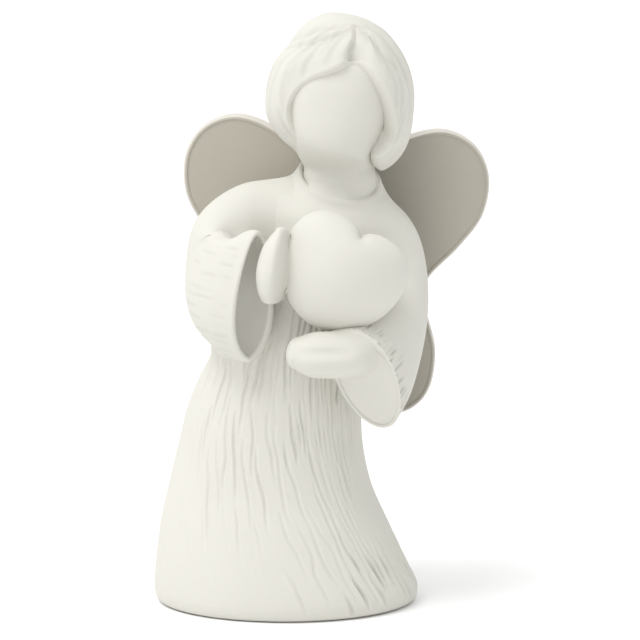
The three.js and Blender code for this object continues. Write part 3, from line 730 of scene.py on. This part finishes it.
def make_groove():
    """Cuts a groove with a slight burr along lines that lie on a surface. Lines hold their own strength."""
    tree, given, end = new_tree(
        "groove",
        [("Geometry", "Geometry", None), ("Geometry", "Lines", None), ("Float", "Width", 0.0004),
         ("Float", "Depth", 0.0003)],
        [("Geometry", "Geometry")],
    )
    near = add_node(tree, "GeometryNodeProximity", given["Lines"], target_element="EDGES")
    nearest = add_node(tree, "GeometryNodeSampleNearest", given["Lines"], domain="POINT")
    strength = read(tree, "strength")
    sampled = add_node(tree, "GeometryNodeSampleIndex", given["Lines"], strength, out(nearest),
                       data_type="FLOAT", domain="POINT")
    away = maths(tree, "DIVIDE", out(near, "Distance"), given["Width"])
    cut = ramp(tree, away, 0.0, 1.0, 1.0, 0.0)
    burr = ramp(tree, maths(tree, "ABSOLUTE", maths(tree, "SUBTRACT", away, 1.35)), 0.0, 0.7, 0.22, 0.0)
    amount = maths(tree, "MULTIPLY", maths(tree, "SUBTRACT", burr, cut), out(sampled))
    # The carved mask goes to the materials, which darken the grooves with it as painted shade.
    kept = keep(tree, given["Geometry"], "carved", maths(tree, "MULTIPLY", cut, out(sampled)))
    normal = out(add_node(tree, "GeometryNodeInputNormal"))
    moved = moved_along(tree, kept, normal, maths(tree, "MULTIPLY", amount, given["Depth"]))
    tree.links.new(moved, end.inputs[0])
    return tree


LINE_POINTS = 30  # points along one stroke


def make_strokes(groove):
    """Many long strokes cut down a surface. They run along its V in lanes side by side, several to a
    lane, each with its own start, length, waver and depth. The named mask says where the tool pressed."""
    tree, given, end = new_tree(
        "carved_strokes",
        [("Geometry", "Geometry", None), ("Int", "Lanes", 50), ("Int", "Levels", 3), ("Int", "Seed", 1),
         ("Float", "Low", 0.05), ("Float", "High", 0.9), ("Float", "Fill", 0.9), ("Float", "Jitter", 0.5),
         ("Float", "Waver", 0.6), ("Float", "Width", 0.0004), ("Float", "Depth", 0.0003),
         ("String", "Mask", ""), ("Material", "Material", None)],
        [("Geometry", "Geometry")],
    )
    total = maths(tree, "MULTIPLY", given["Lanes"], given["Levels"])
    seeds = add_node(tree, "GeometryNodePoints", total)
    index = out(add_node(tree, "GeometryNodeInputIndex"))
    numbered = keep(tree, out(seeds), "stroke", index, "INT")
    line = add_node(tree, "GeometryNodeMeshLine", LINE_POINTS, mode="OFFSET")
    way = keep(tree, out(line), "way", maths(tree, "DIVIDE", index, LINE_POINTS - 1.0))
    copies = add_node(tree, "GeometryNodeInstanceOnPoints", numbered, True, way)
    lines = out(add_node(tree, "GeometryNodeRealizeInstances", out(copies)))
    stroke = read(tree, "stroke", "INT")
    along = read(tree, "way")
    lane = maths(tree, "FLOORED_MODULO", stroke, given["Lanes"])
    step = maths(tree, "FLOOR", maths(tree, "DIVIDE", stroke, given["Lanes"]))

    def chance(low, high, number, salt):
        seed = maths(tree, "ADD", given["Seed"], float(salt))
        return out(add_node(tree, "FunctionNodeRandomValue", low, high, number, seed, data_type="FLOAT"))

    pitch = maths(tree, "DIVIDE", maths(tree, "SUBTRACT", given["High"], given["Low"]), given["Levels"])
    start = maths(tree, "ADD", maths(tree, "ADD", step, chance(-0.5, 0.5, lane, 1)),
                  chance(0.0, 0.25, stroke, 2))
    length = maths(tree, "MULTIPLY", chance(0.45, 1.0, stroke, 3), given["Fill"])
    run = maths(tree, "MULTIPLY", pitch, maths(tree, "MULTIPLY_ADD", along, length, start))
    v = maths(tree, "SUBTRACT", given["High"], run)
    noise_at = add_node(tree, "ShaderNodeCombineXYZ", maths(tree, "MULTIPLY", v, 9.0),
                        maths(tree, "MULTIPLY", stroke, 7.31), 0.0)
    noise = out(add_node(tree, "ShaderNodeTexNoise", out(noise_at), 1.0, 1.0), "Fac")
    waver = maths(tree, "MULTIPLY", maths(tree, "SUBTRACT", noise, 0.5), given["Waver"])
    jitter = maths(tree, "MULTIPLY", chance(-0.5, 0.5, stroke, 4), given["Jitter"])
    across = maths(tree, "ADD", maths(tree, "ADD", lane, 0.5), maths(tree, "ADD", waver, jitter))
    u = maths(tree, "FRACT", maths(tree, "DIVIDE", across, given["Lanes"]))
    uv = out(add_node(tree, "ShaderNodeCombineXYZ", u, v, 0.0))
    chart = read(tree, "UVMap", "FLOAT_VECTOR")
    place = out(add_node(tree, "GeometryNodeInputPosition"))
    press = read(tree, given["Mask"])
    on_surface = add_node(tree, "GeometryNodeSampleUVSurface", given["Geometry"], place, chart, uv,
                          data_type="FLOAT_VECTOR")
    pressed = add_node(tree, "GeometryNodeSampleUVSurface", given["Geometry"], press, chart, uv,
                       data_type="FLOAT")
    taper = maths(tree, "POWER", maths(tree, "SINE", maths(tree, "MULTIPLY", along, math.pi)), 0.55)
    force = maths(tree, "MULTIPLY", taper, chance(0.35, 1.0, stroke, 5))
    force = maths(tree, "MULTIPLY", force, out(pressed))
    strong = keep(tree, lines, "strength", force)
    laid = add_node(tree, "GeometryNodeSetPosition", strong, True, out(on_surface))
    missing = maths(tree, "LESS_THAN", out(pressed), 0.02)
    trimmed = add_node(tree, "GeometryNodeDeleteGeometry", out(laid), missing, domain="POINT")
    cutter = add_node(tree, "GeometryNodeGroup", node_tree=groove)
    for socket, feed in zip(cutter.inputs, (given["Geometry"], out(trimmed), given["Width"], given["Depth"])):
        tree.links.new(feed, socket)
    finish_tree(tree, out(cutter), given["Material"], end)
    return tree


def shape_with(piece, tree, values):
    """Runs a geometry tree on a piece and keeps the result as the piece's own plain mesh."""
    modifier = piece.modifiers.new(tree.name, "NODES")
    modifier.node_group = tree
    for item in tree.interface.items_tree:
        if item.item_type == "SOCKET" and item.in_out == "INPUT" and item.name in values:
            modifier[item.identifier] = values[item.name]
    ready = bpy.context.evaluated_depsgraph_get()
    mesh = bpy.data.meshes.new_from_object(
        piece.evaluated_get(ready), preserve_all_data_layers=True, depsgraph=ready
    )
    piece.modifiers.remove(modifier)
    piece.data = mesh
    return piece


def set_mask(piece, name, values):
    """Stores one number for each point of a piece, that node trees read by name."""
    mask = piece.data.attributes.new(name, "FLOAT", "POINT")
    mask.data.foreach_set("value", np.ascontiguousarray(values, dtype=np.float32))


def on_frame(piece, node_name, material):
    """Dresses a finished piece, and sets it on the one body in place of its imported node."""
    piece.data.materials.clear()
    piece.data.materials.append(material)
    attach(piece, "root")
    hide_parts(node_name)


strokes = make_strokes(make_groove())

hair_rings = []
for share in np.linspace(0.012, 1, HAIR_LEVELS):
    ways = lock_direction(share)
    cut = parted(ways) * smooth_step(share, 0.02, 0.1) * smooth_step(share, 1.0, 0.93)
    hair_rings.append(on_bob(ways, thinning * smooth_step(share, 0.5, 1.05) + cut))
edge_way = unit(lock_direction(1.0) - lock_direction(0.97))
for angle in np.radians(np.arange(15, 181, 15)):
    spread = lock_direction(1.0) + edge_way * (0.5 * edge_thick / bob_radius * math.sin(angle))[:, None]
    hair_rings.append(on_bob(spread, thinning + 0.5 * edge_thick * (1 - math.cos(angle))))
for share in np.linspace(0.94, 0.1, 16):
    inner = thinning * smooth_step(share, 0.3, 1) + edge_thick + 1.2 * (1 - share)
    hair_rings.append(on_bob(lock_direction(share), np.maximum(inner, hair_wall)))
hair_rings = np.array([in_head_frame(ring) for ring in hair_rings])
hair = closed_skin("hair_casting", hair_rings)

ring_count = np.arange(len(hair_rings))
combed = smooth_step(ring_count, 8, 40) * smooth_step(ring_count, HAIR_LEVELS, HAIR_LEVELS - 20)
set_mask(hair, "combed", np.concatenate([np.repeat(combed, HAIR_SIDES), [0, 0]]))
shape_with(hair, strokes, {
    "Lanes": 30, "Levels": 1, "Seed": 21, "Low": 0.1, "High": 0.8, "Fill": 1.0, "Jitter": 0.6,
    "Waver": 0.6, "Width": 1.6 * MM, "Depth": 0.16 * MM, "Mask": "combed", "Material": resin,
})
on_frame(hair, "hair", resin)

# ---- Wings ------------------------------------------------------------------------------------------
# Each wing is a flat casting with a large upper lobe and a small lower one. Its two faces are painted
# taupe and sunk a little inside a plain rounded rim. The roots are let into the back over two pins.

WING_SIDES = 300
rim_width, face_edge_width, face_sunk = 1.5, 0.25, 0.22
wing_span, wing_rise, wing_drop, wing_thick = 43.5, 39.0, 41.0, 4.8
wing_sweep, wing_roll = math.radians(12), math.radians(4.3)
wing_root = np.array([collar[0] - 2.4, box_of("left_wing")[0][1], collar[2] - 25.2])
wing_outline = [
    [2, 0.1 * wing_rise],
    [4, 0.44 * wing_rise],
    [0.22 * wing_span, 0.74 * wing_rise],
    [0.42 * wing_span, 0.93 * wing_rise],
    [0.67 * wing_span, wing_rise],
    [0.88 * wing_span, 0.9 * wing_rise],
    [0.99 * wing_span, 0.68 * wing_rise],
    [0.97 * wing_span, 0.4 * wing_rise],
    [0.83 * wing_span, 0.16 * wing_rise],
    [0.66 * wing_span, -0.05 * wing_rise],
    [0.6 * wing_span, -0.2 * wing_drop],
    [0.67 * wing_span, -0.35 * wing_drop],
    [0.73 * wing_span, -0.56 * wing_drop],
    [0.72 * wing_span, -0.79 * wing_drop],
    [0.64 * wing_span, -0.94 * wing_drop],
    [0.5 * wing_span, -wing_drop],
    [0.33 * wing_span, -0.86 * wing_drop],
    [0.16 * wing_span, -0.5 * wing_drop],
    [2, -0.14 * wing_drop],
]


def wing(name, side):
    """One wing: rings run from the middle of its front face, over the rim, to the middle of its back."""
    outline = smooth_rows(wing_outline, WING_SIDES, [0, 1], closed=True)
    ahead = unit(np.roll(outline, -1, axis=0) - np.roll(outline, 1, axis=0))
    inwards = np.stack([-ahead[:, 1], ahead[:, 0]], axis=1)
    if np.sum((outline - outline.mean(0)) * inwards) > 0:
        inwards = -inwards
    middle = np.array([0.38 * wing_span, 0.0])
    face_edge = outline + inwards * (rim_width + face_edge_width)
    face = []
    for share in np.linspace(0.05, 1, 40):
        face.append((middle + (face_edge - middle) * share, wing_thick / 2 - face_sunk))
    for share in np.linspace(0.25, 1, 4):
        width = rim_width + face_edge_width * (1 - share)
        face.append((outline + inwards * width, wing_thick / 2 - face_sunk * (1 - smooth_step(share, 0, 1))))
    rim = []
    for angle in np.radians(np.arange(10, 180, 10)):
        rim.append((outline + inwards * rim_width * (1 - math.sin(angle)), wing_thick / 2 * math.cos(angle)))
    rings, masks = [], []
    for flat, height in [*face, *rim, *[(f, -h) for f, h in reversed(face)]]:
        x, z = side * flat[:, 0], flat[:, 1]
        y = np.full_like(x, -height)
        x, y = turned(x, y, side * wing_sweep)
        x, z = turned(x, z, -wing_roll)
        rings.append(wing_root + [0, wing_thick / 2, 0] + np.stack([x, y, z], axis=1))
        masks.append(len(masks) < len(face) + 2 or len(masks) > len(face) + len(rim) - 2)
    piece = closed_skin(name, rings)
    set_mask(piece, "painted", np.concatenate([np.repeat(masks, WING_SIDES), [1, 1]]))
    return piece


right_wing = wing("right_wing_casting", -1)
left_wing = wing("left_wing_casting", 1)

wing_paint, painted_skin = coated(
    "matt_taupe_paint",
    {"Tone": (0.41, 0.385, 0.325, 1), "Cloud": 0.08, "Cut": 0.0, "Roughness": 0.55, "Grain": 1100.0},
    0.3, 0.0001, specular=0.4,
)
tree = wing_paint.node_tree
place = out(add_node(tree, "ShaderNodeTexCoord"), "Object")
across = out(add_node(tree, "ShaderNodeSeparateXYZ", place), "X")
# Painted shade: the taupe of the wing on +X is darkened close to its root, fading towards the tip.
painted_root_shade = maths(tree, "MULTIPLY", ramp(tree, across, 0.008, 0.016), ramp(tree, across, 0.052, 0.024))
taupe_with_painted_shade = scaled(tree, painted_skin.outputs["Tone"], maths(tree, "MULTIPLY_ADD", painted_root_shade, -0.36, 1.0))
worn = out(add_node(tree, "ShaderNodeTexNoise", place, 260.0, 2.0, 0.5, noise_dimensions="3D"))
painted = out(add_node(tree, "ShaderNodeAttribute", attribute_name="painted"), "Fac")
edge = maths(tree, "MULTIPLY_ADD", maths(tree, "SUBTRACT", worn, 0.5), 0.5, painted)
rim_or_face = add_node(tree, "ShaderNodeMix", data_type="RGBA")
tree.links.new(ramp(tree, edge, 0.35, 0.65), rim_or_face.inputs[0])
rim_or_face.inputs[6].default_value = (0.6, 0.57, 0.52, 1)
tree.links.new(taupe_with_painted_shade, rim_or_face.inputs[7])
tree.links.new(rim_or_face.outputs[2], tree.nodes["Principled BSDF"].inputs["Base Color"])
on_frame(right_wing, "right_wing", wing_paint)
on_frame(left_wing, "left_wing", wing_paint)

# ---- Felt pad and pins ------------------------------------------------------------------------------
# A pad of wool felt is glued into a shallow seat under the hem, and the figure stands on it. Plain
# steel pins with bevelled ends sit in blind holes inside, and key the castings together.

felt_low, felt_high, felt_middle = box_of("felt_pad")
felt_half = (felt_high - felt_low) / 2
rings = []
for angle in np.radians([-90, -60, -30, 0, 30, 60, 90]):
    inset = 0.4 * (1 - math.cos(angle))
    for share in ([0.3, 0.6, 0.85, 1.0] if angle < -1.5 else [1.0, 0.8, 0.5, 0.2] if angle > 1.5 else [1.0]):
        turn = np.linspace(0, 2 * math.pi, 160, endpoint=False)
        x, y = (felt_half[0] - inset) * share * np.cos(turn), (felt_half[1] - inset) * share * np.sin(turn)
        z = np.full_like(x, felt_middle[2] + felt_half[2] * math.sin(angle))
        rings.append(np.stack([felt_middle[0] + x, felt_middle[1] + y, z], axis=1))
felt_pad = closed_skin("felt_base_pad", rings)

PIN_SIDES, pin_radius = 32, 1.2
pins = []
for name in [name for name in sorted(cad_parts) if name.endswith("_pin")]:
    low, high, middle = box_of(name)
    size = high - low
    axis = int(np.argmax(size))
    others = [k for k in range(3) if k != axis]
    rings = []
    for step, r in [(-0.5, 0.75), (-0.46, 1), (-0.2, 1), (0, 1), (0.2, 1), (0.46, 1), (0.5, 0.75)]:
        turn = np.linspace(0, 2 * math.pi, PIN_SIDES, endpoint=False)
        ring = np.tile(middle, (PIN_SIDES, 1))
        ring[:, axis] += step * size[axis]
        ring[:, others[0]] += pin_radius * r * np.cos(turn)
        ring[:, others[1]] += pin_radius * r * np.sin(turn)
        rings.append(ring)
    pins.append((name, closed_skin("steel_" + name, rings)))

felt, _ = coated(
    "wool_felt",
    {"Tone": (0.42, 0.40, 0.36, 1), "Cloud": 0.3, "Cut": 0.0, "Roughness": 0.95, "Grain": 2600.0},
    1.0, 0.0004, specular=0.1,
)
steel, _ = coated(
    "pin_steel",
    {"Tone": (0.56, 0.56, 0.55, 1), "Cloud": 0.2, "Cut": 0.0, "Roughness": 0.34, "Grain": 3000.0},
    0.2, 0.00005, metallic=1.0, specular=0.5,
)
on_frame(felt_pad, "felt_pad", felt)
for name, pin in pins:
    on_frame(pin, name, steel)

# ---- Joints between the castings --------------------------------------------------------------------
# Where two castings meet, the seam was filled and rubbed to a soft hollow. The shoulders are blended
# widest. At the neck only a short crease was left on one side, and a thin line on the other.


def vectors(tree, operation, *feeds):
    return out(add_node(tree, "ShaderNodeVectorMath", *feeds, operation=operation))


def side_of(tree, geometry, place):
    """How far a place stands outside a closed surface, and the way out of it there."""
    near = add_node(tree, "GeometryNodeProximity", geometry, None, place, target_element="FACES")
    face = add_node(tree, "GeometryNodeInputNormal")
    way = add_node(tree, "GeometryNodeSampleNearestSurface", geometry, out(face), None, place,
                   data_type="FLOAT_VECTOR")
    apart = vectors(tree, "SUBTRACT", place, out(near, "Position"))
    dot = add_node(tree, "ShaderNodeVectorMath", apart, out(way), operation="DOT_PRODUCT")
    sign = maths(tree, "SIGN", out(dot))
    return maths(tree, "MULTIPLY", out(near, "Distance"), sign), out(way)


def make_rub_step():
    """One step that moves a surface to where it and its neighbour would flow into each other."""
    tree, given, end = new_tree(
        "rub_step",
        [("Geometry", "Geometry", None), ("Geometry", "Own", None), ("Geometry", "Neighbour", None),
         ("Float", "Radius", 0.005), ("Float", "Sink", 0.0001), ("Float", "Reach", 1.0)],
        [("Geometry", "Geometry")],
    )
    place = out(add_node(tree, "GeometryNodeInputPosition"))
    spread = read(tree, "spread")
    radius = maths(tree, "MULTIPLY", given["Radius"], spread)
    own, own_way = side_of(tree, given["Own"], place)
    other, other_way = side_of(tree, given["Neighbour"], place)
    gap = maths(tree, "SUBTRACT", own, other)
    nearness = maths(tree, "DIVIDE", maths(tree, "ABSOLUTE", gap), radius)
    mixing = maths(tree, "SUBTRACT", 1.0, nearness, clamp=True)
    fill = maths(tree, "MULTIPLY", maths(tree, "MULTIPLY", mixing, mixing),
                 maths(tree, "MULTIPLY", radius, 0.25))
    level = maths(tree, "SUBTRACT", maths(tree, "MINIMUM", own, other), fill)
    owned = maths(tree, "GREATER_THAN", gap, 0.0)
    half = maths(tree, "MULTIPLY", mixing, 0.5)
    weight = out(add_node(tree, "ShaderNodeMix", owned, half, maths(tree, "SUBTRACT", 1.0, half)))
    blended = out(add_node(tree, "ShaderNodeMix", weight, None, own_way, other_way, data_type="VECTOR"))
    under = ramp(tree, gap, 0.0, maths(tree, "MULTIPLY", radius, 0.25), 0.0, given["Sink"])
    amount = maths(tree, "MULTIPLY", maths(tree, "ADD", level, under), given["Reach"])
    way = vectors(tree, "NORMALIZE", blended)
    moved = moved_along(tree, given["Geometry"], way, maths(tree, "MULTIPLY", amount, -1.0))
    tree.links.new(moved, end.inputs[0])
    return tree


def make_rubbed_joint():
    """The filled and rubbed joint: a surface bulges to meet its neighbour within a radius of the bond."""
    step = make_rub_step()
    tree, given, end = new_tree(
        "rubbed_joint",
        [("Geometry", "Geometry", None), ("Object", "Neighbour", None), ("Float", "Radius", 0.005),
         ("Float", "Sink", 0.0001), ("Material", "Material", None)],
        [("Geometry", "Geometry")],
    )
    neighbour = out(add_node(tree, "GeometryNodeObjectInfo", given["Neighbour"]), "Geometry")
    place = out(add_node(tree, "GeometryNodeInputPosition"))
    depth, _ = side_of(tree, neighbour, place)
    reach = ramp(tree, maths(tree, "DIVIDE", depth, given["Radius"]), -0.75, -0.35)
    kept = keep(tree, given["Geometry"], "reach", reach)
    shape = kept
    for _ in range(3):
        group = add_node(tree, "GeometryNodeGroup", node_tree=step)
        feeds = (shape, kept, neighbour, given["Radius"], given["Sink"], read(tree, "reach"))
        for socket, feed in zip(group.inputs, feeds):
            tree.links.new(feed, socket)
        shape = out(group)
    finish_tree(tree, shape, given["Material"], end)
    return tree


def points_of(piece):
    """The points of a piece, in millimetres."""
    points = np.empty(len(piece.data.vertices) * 3)
    piece.data.vertices.foreach_get("co", points)
    return points.reshape(-1, 3) / MM


def bare_copy(piece):
    """A copy of a piece as it is now, for its neighbours to be rubbed against."""
    copy = bpy.data.objects.new(piece.name + "_bare", piece.data.copy())
    bpy.context.scene.collection.objects.link(copy)
    return copy


castings = (gown_base, right_sleeve, left_sleeve, right_palm, left_palm, heart, head)
for piece in castings:
    x, y, z = points_of(piece).T
    under_arm = smooth_step(z, 92, 78) * smooth_step(x, -4, -12) * (piece in (gown_base, right_sleeve))
    crease_side = smooth_step(x - collar[0], -6.5, -9)
    line_side = smooth_step(x - collar[0], 1, 5) * smooth_step(y - collar[1], 2, -4)
    at_neck = smooth_step(z - collar[2], -6, -3) * smooth_step(np.hypot(x - collar[0], y - collar[1]), 15, 12)
    set_mask(piece, "spread", 1 + 0.5 * under_arm - 0.85 * np.maximum(crease_side, line_side) * at_neck)

bare = {piece.name: bare_copy(piece) for piece in castings}
rubbed = make_rubbed_joint()
# Each pair of castings that meet, how wide the joint was rubbed, and whether both were rubbed.
joints = [
    (gown_base, right_sleeve, 7, True),
    (gown_base, left_sleeve, 7, True),
    (gown_base, head, 3.4, True),
    (left_palm, left_sleeve, 4, True),
    (right_palm, heart, 0.9, False),
    (right_palm, right_sleeve, 2.5, True),
]
for one, other, radius, both in joints:
    for piece, neighbour in [(one, other), (other, one)][: 2 if both else 1]:
        shape_with(piece, rubbed, {
            "Neighbour": bare[neighbour.name], "Radius": radius * MM, "Sink": 0.1 * MM, "Material": resin,
        })
for copy in bare.values():
    bpy.data.objects.remove(copy)

# ---- Strokes cut in the gown and the sleeves --------------------------------------------------------
# Long strokes run down the skirt from the waist, finer and closer under the left hand, and short deep
# ones cross the hem on the left. Small pleats gather the sleeves at their mouths.

x, y, z = points_of(gown_base).T
front = smooth_step(y, 6, -4)
low_right = smooth_step(z, 30, 16) * smooth_step(x, 6, -4)
far_right = smooth_step(x, -19, -25)
left_flank = smooth_step(x, 17, 20) * smooth_step(z, 15, 24) * smooth_step(z, 64, 54)
smooth_parts = front * np.maximum.reduce([0.9 * low_right, 0.8 * far_right, 0.95 * left_flank])
set_mask(gown_base, "on_skirt", (1 - smooth_parts) * smooth_step(z, 104, 92) * smooth_step(z, 1.5, 5))
middle_part = smooth_step(x, -6, 2) * smooth_step(x, 20, 16)
set_mask(gown_base, "under_hand", front * middle_part * smooth_step(z, 36, 44) * smooth_step(z, 74, 66))
hem_part = smooth_step(x, 12, 20) * smooth_step(y, 20, 0) + 0.6 * smooth_step(y, 4, 12)
set_mask(gown_base, "at_hem", hem_part * smooth_step(z, 18, 12) * smooth_step(z, 0.6, 2))
ring_heights = z[:-2].reshape(-1, GOWN_SIDES).mean(axis=1)
hem_low, hem_high = (int(np.argmax(ring_heights > level)) / (len(ring_heights) - 1) for level in (1.6, 15))
skirt_runs = [
    {"Lanes": 70, "Levels": 4, "Seed": 3, "Low": 0.05, "High": 0.92, "Fill": 1.2, "Jitter": 0.5,
     "Waver": 1.5, "Width": 0.6 * MM, "Depth": 0.6 * MM, "Mask": "on_skirt"},
    {"Lanes": 76, "Levels": 4, "Seed": 5, "Low": 0.2, "High": 0.75, "Fill": 0.8, "Jitter": 0.4,
     "Waver": 0.6, "Width": 0.5 * MM, "Depth": 0.45 * MM, "Mask": "under_hand"},
    {"Lanes": 56, "Levels": 1, "Seed": 8, "Low": hem_low, "High": hem_high, "Fill": 1.0, "Jitter": 0.3,
     "Waver": 0.3, "Width": 0.7 * MM, "Depth": 1.3 * MM, "Mask": "at_hem"},
]
for run in skirt_runs:
    shape_with(gown_base, strokes, {**run, "Material": resin})

ring_total = len(left_rings)
along = np.repeat(np.arange(ring_total), SLEEVE_SIDES) / (ring_total - 1)
along = np.concatenate([along, [0, 1]])
lip = (4 + SLEEVE_LEVELS) / (ring_total - 1)  # where a sleeve's rounded lip starts, as a share of its rings
from_mouth = points_of(left_sleeve) - left_mouth
outer_side = smooth_step(from_mouth @ unit(np.array([0.9, -0.2, 0.5])), -1, 3)
near_lip = smooth_step(along, lip - 0.15, lip - 0.1) * smooth_step(along, lip + 0.01, lip - 0.004)
set_mask(left_sleeve, "pleated", near_lip * outer_side * smooth_step(from_mouth[:, 2], -12, -4))
shape_with(left_sleeve, strokes, {
    "Lanes": 72, "Levels": 1, "Seed": 4, "Low": lip - 0.1, "High": lip + 0.045, "Fill": 1.0, "Jitter": 0.4,
    "Waver": 0.4, "Width": 0.6 * MM, "Depth": 0.7 * MM, "Mask": "pleated", "Material": resin,
})
from_mouth = points_of(right_sleeve) - right_mouth
near_lip = smooth_step(along, lip - 0.3, lip - 0.2) * smooth_step(along, lip - 0.005, lip - 0.05)
set_mask(right_sleeve, "pleated", 0.6 * near_lip * smooth_step(from_mouth[:, 0], -2, -5))
shape_with(right_sleeve, strokes, {
    "Lanes": 34, "Levels": 2, "Seed": 11, "Low": lip - 0.3, "High": lip + 0.02, "Fill": 1.1, "Jitter": 0.5,
    "Waver": 0.5, "Width": 0.9 * MM, "Depth": 0.2 * MM, "Mask": "pleated", "Material": resin,
})

finished = {
    "gown": gown_base, "right_sleeve": right_sleeve, "left_sleeve": left_sleeve, "right_hand": right_palm,
    "left_hand": left_palm, "heart": heart, "head": head,
}
for node_name, piece in finished.items():
    on_frame(piece, node_name, resin)

# ---- Floor, light and camera ------------------------------------------------------------------------
# A flat white paper floor, a wide soft sun from the upper left, and a pale sky that is a little brighter
# overhead. The camera looks at the front from slightly above, with a long lens.

scene = bpy.context.scene
floor_mesh = bpy.data.meshes.new("floor")
floor_mesh.from_pydata([(-8, -8, 0), (8, -8, 0), (8, 8, 0), (-8, 8, 0)], [], [(0, 1, 2, 3)])
floor = bpy.data.objects.new("floor", floor_mesh)
scene.collection.objects.link(floor)
paper = bpy.data.materials.new("white_paper")
paper.use_nodes = True
paper.node_tree.nodes["Principled BSDF"].inputs["Base Color"].default_value = (0.94, 0.94, 0.94, 1)
floor_mesh.materials.append(paper)
floor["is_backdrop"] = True

sun = bpy.data.objects.new("key", bpy.data.lights.new("key", "SUN"))
sun.data.energy, sun.data.angle = 1.4, math.radians(30)
sun.rotation_euler = Vector((0.42, 0.29, -0.86)).to_track_quat("-Z", "Y").to_euler()
scene.collection.objects.link(sun)

scene.world = bpy.data.worlds.new("studio")
scene.world.use_nodes = True
tree = scene.world.node_tree
backdrop = tree.nodes["Background"]
backdrop.inputs["Color"].default_value = (1, 1, 1, 1)
way = add_node(tree, "ShaderNodeSeparateXYZ", out(add_node(tree, "ShaderNodeTexCoord"), "Generated"))
overhead = maths(tree, "MULTIPLY_ADD", out(way, "Z"), 0.4, 0.78)
tree.links.new(maths(tree, "MULTIPLY_ADD", out(way, "X"), -0.15, overhead), backdrop.inputs["Strength"])

camera = bpy.data.objects.new("camera", bpy.data.cameras.new("camera"))
camera.data.lens, camera.data.sensor_width = 206.4, 36
camera.data.clip_start, camera.data.clip_end = 0.05, 20
tilt = math.radians(9)
camera.location = (0.00926, -math.cos(tilt), 0.0777 + math.sin(tilt))
camera.rotation_euler = (math.radians(90) - tilt, 0, 0)
scene.collection.objects.link(camera)
scene.camera = camera
scene.view_settings.view_transform = "Standard"

# ---- Size and finish --------------------------------------------------------------------------------
# Nothing on the figure moves, so there is no joint to set here. The size of the whole is measured beside the
# imported one.

size = {"cad": [list(corner) for corner in cad_box], "visual": [list(corner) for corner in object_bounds()]}
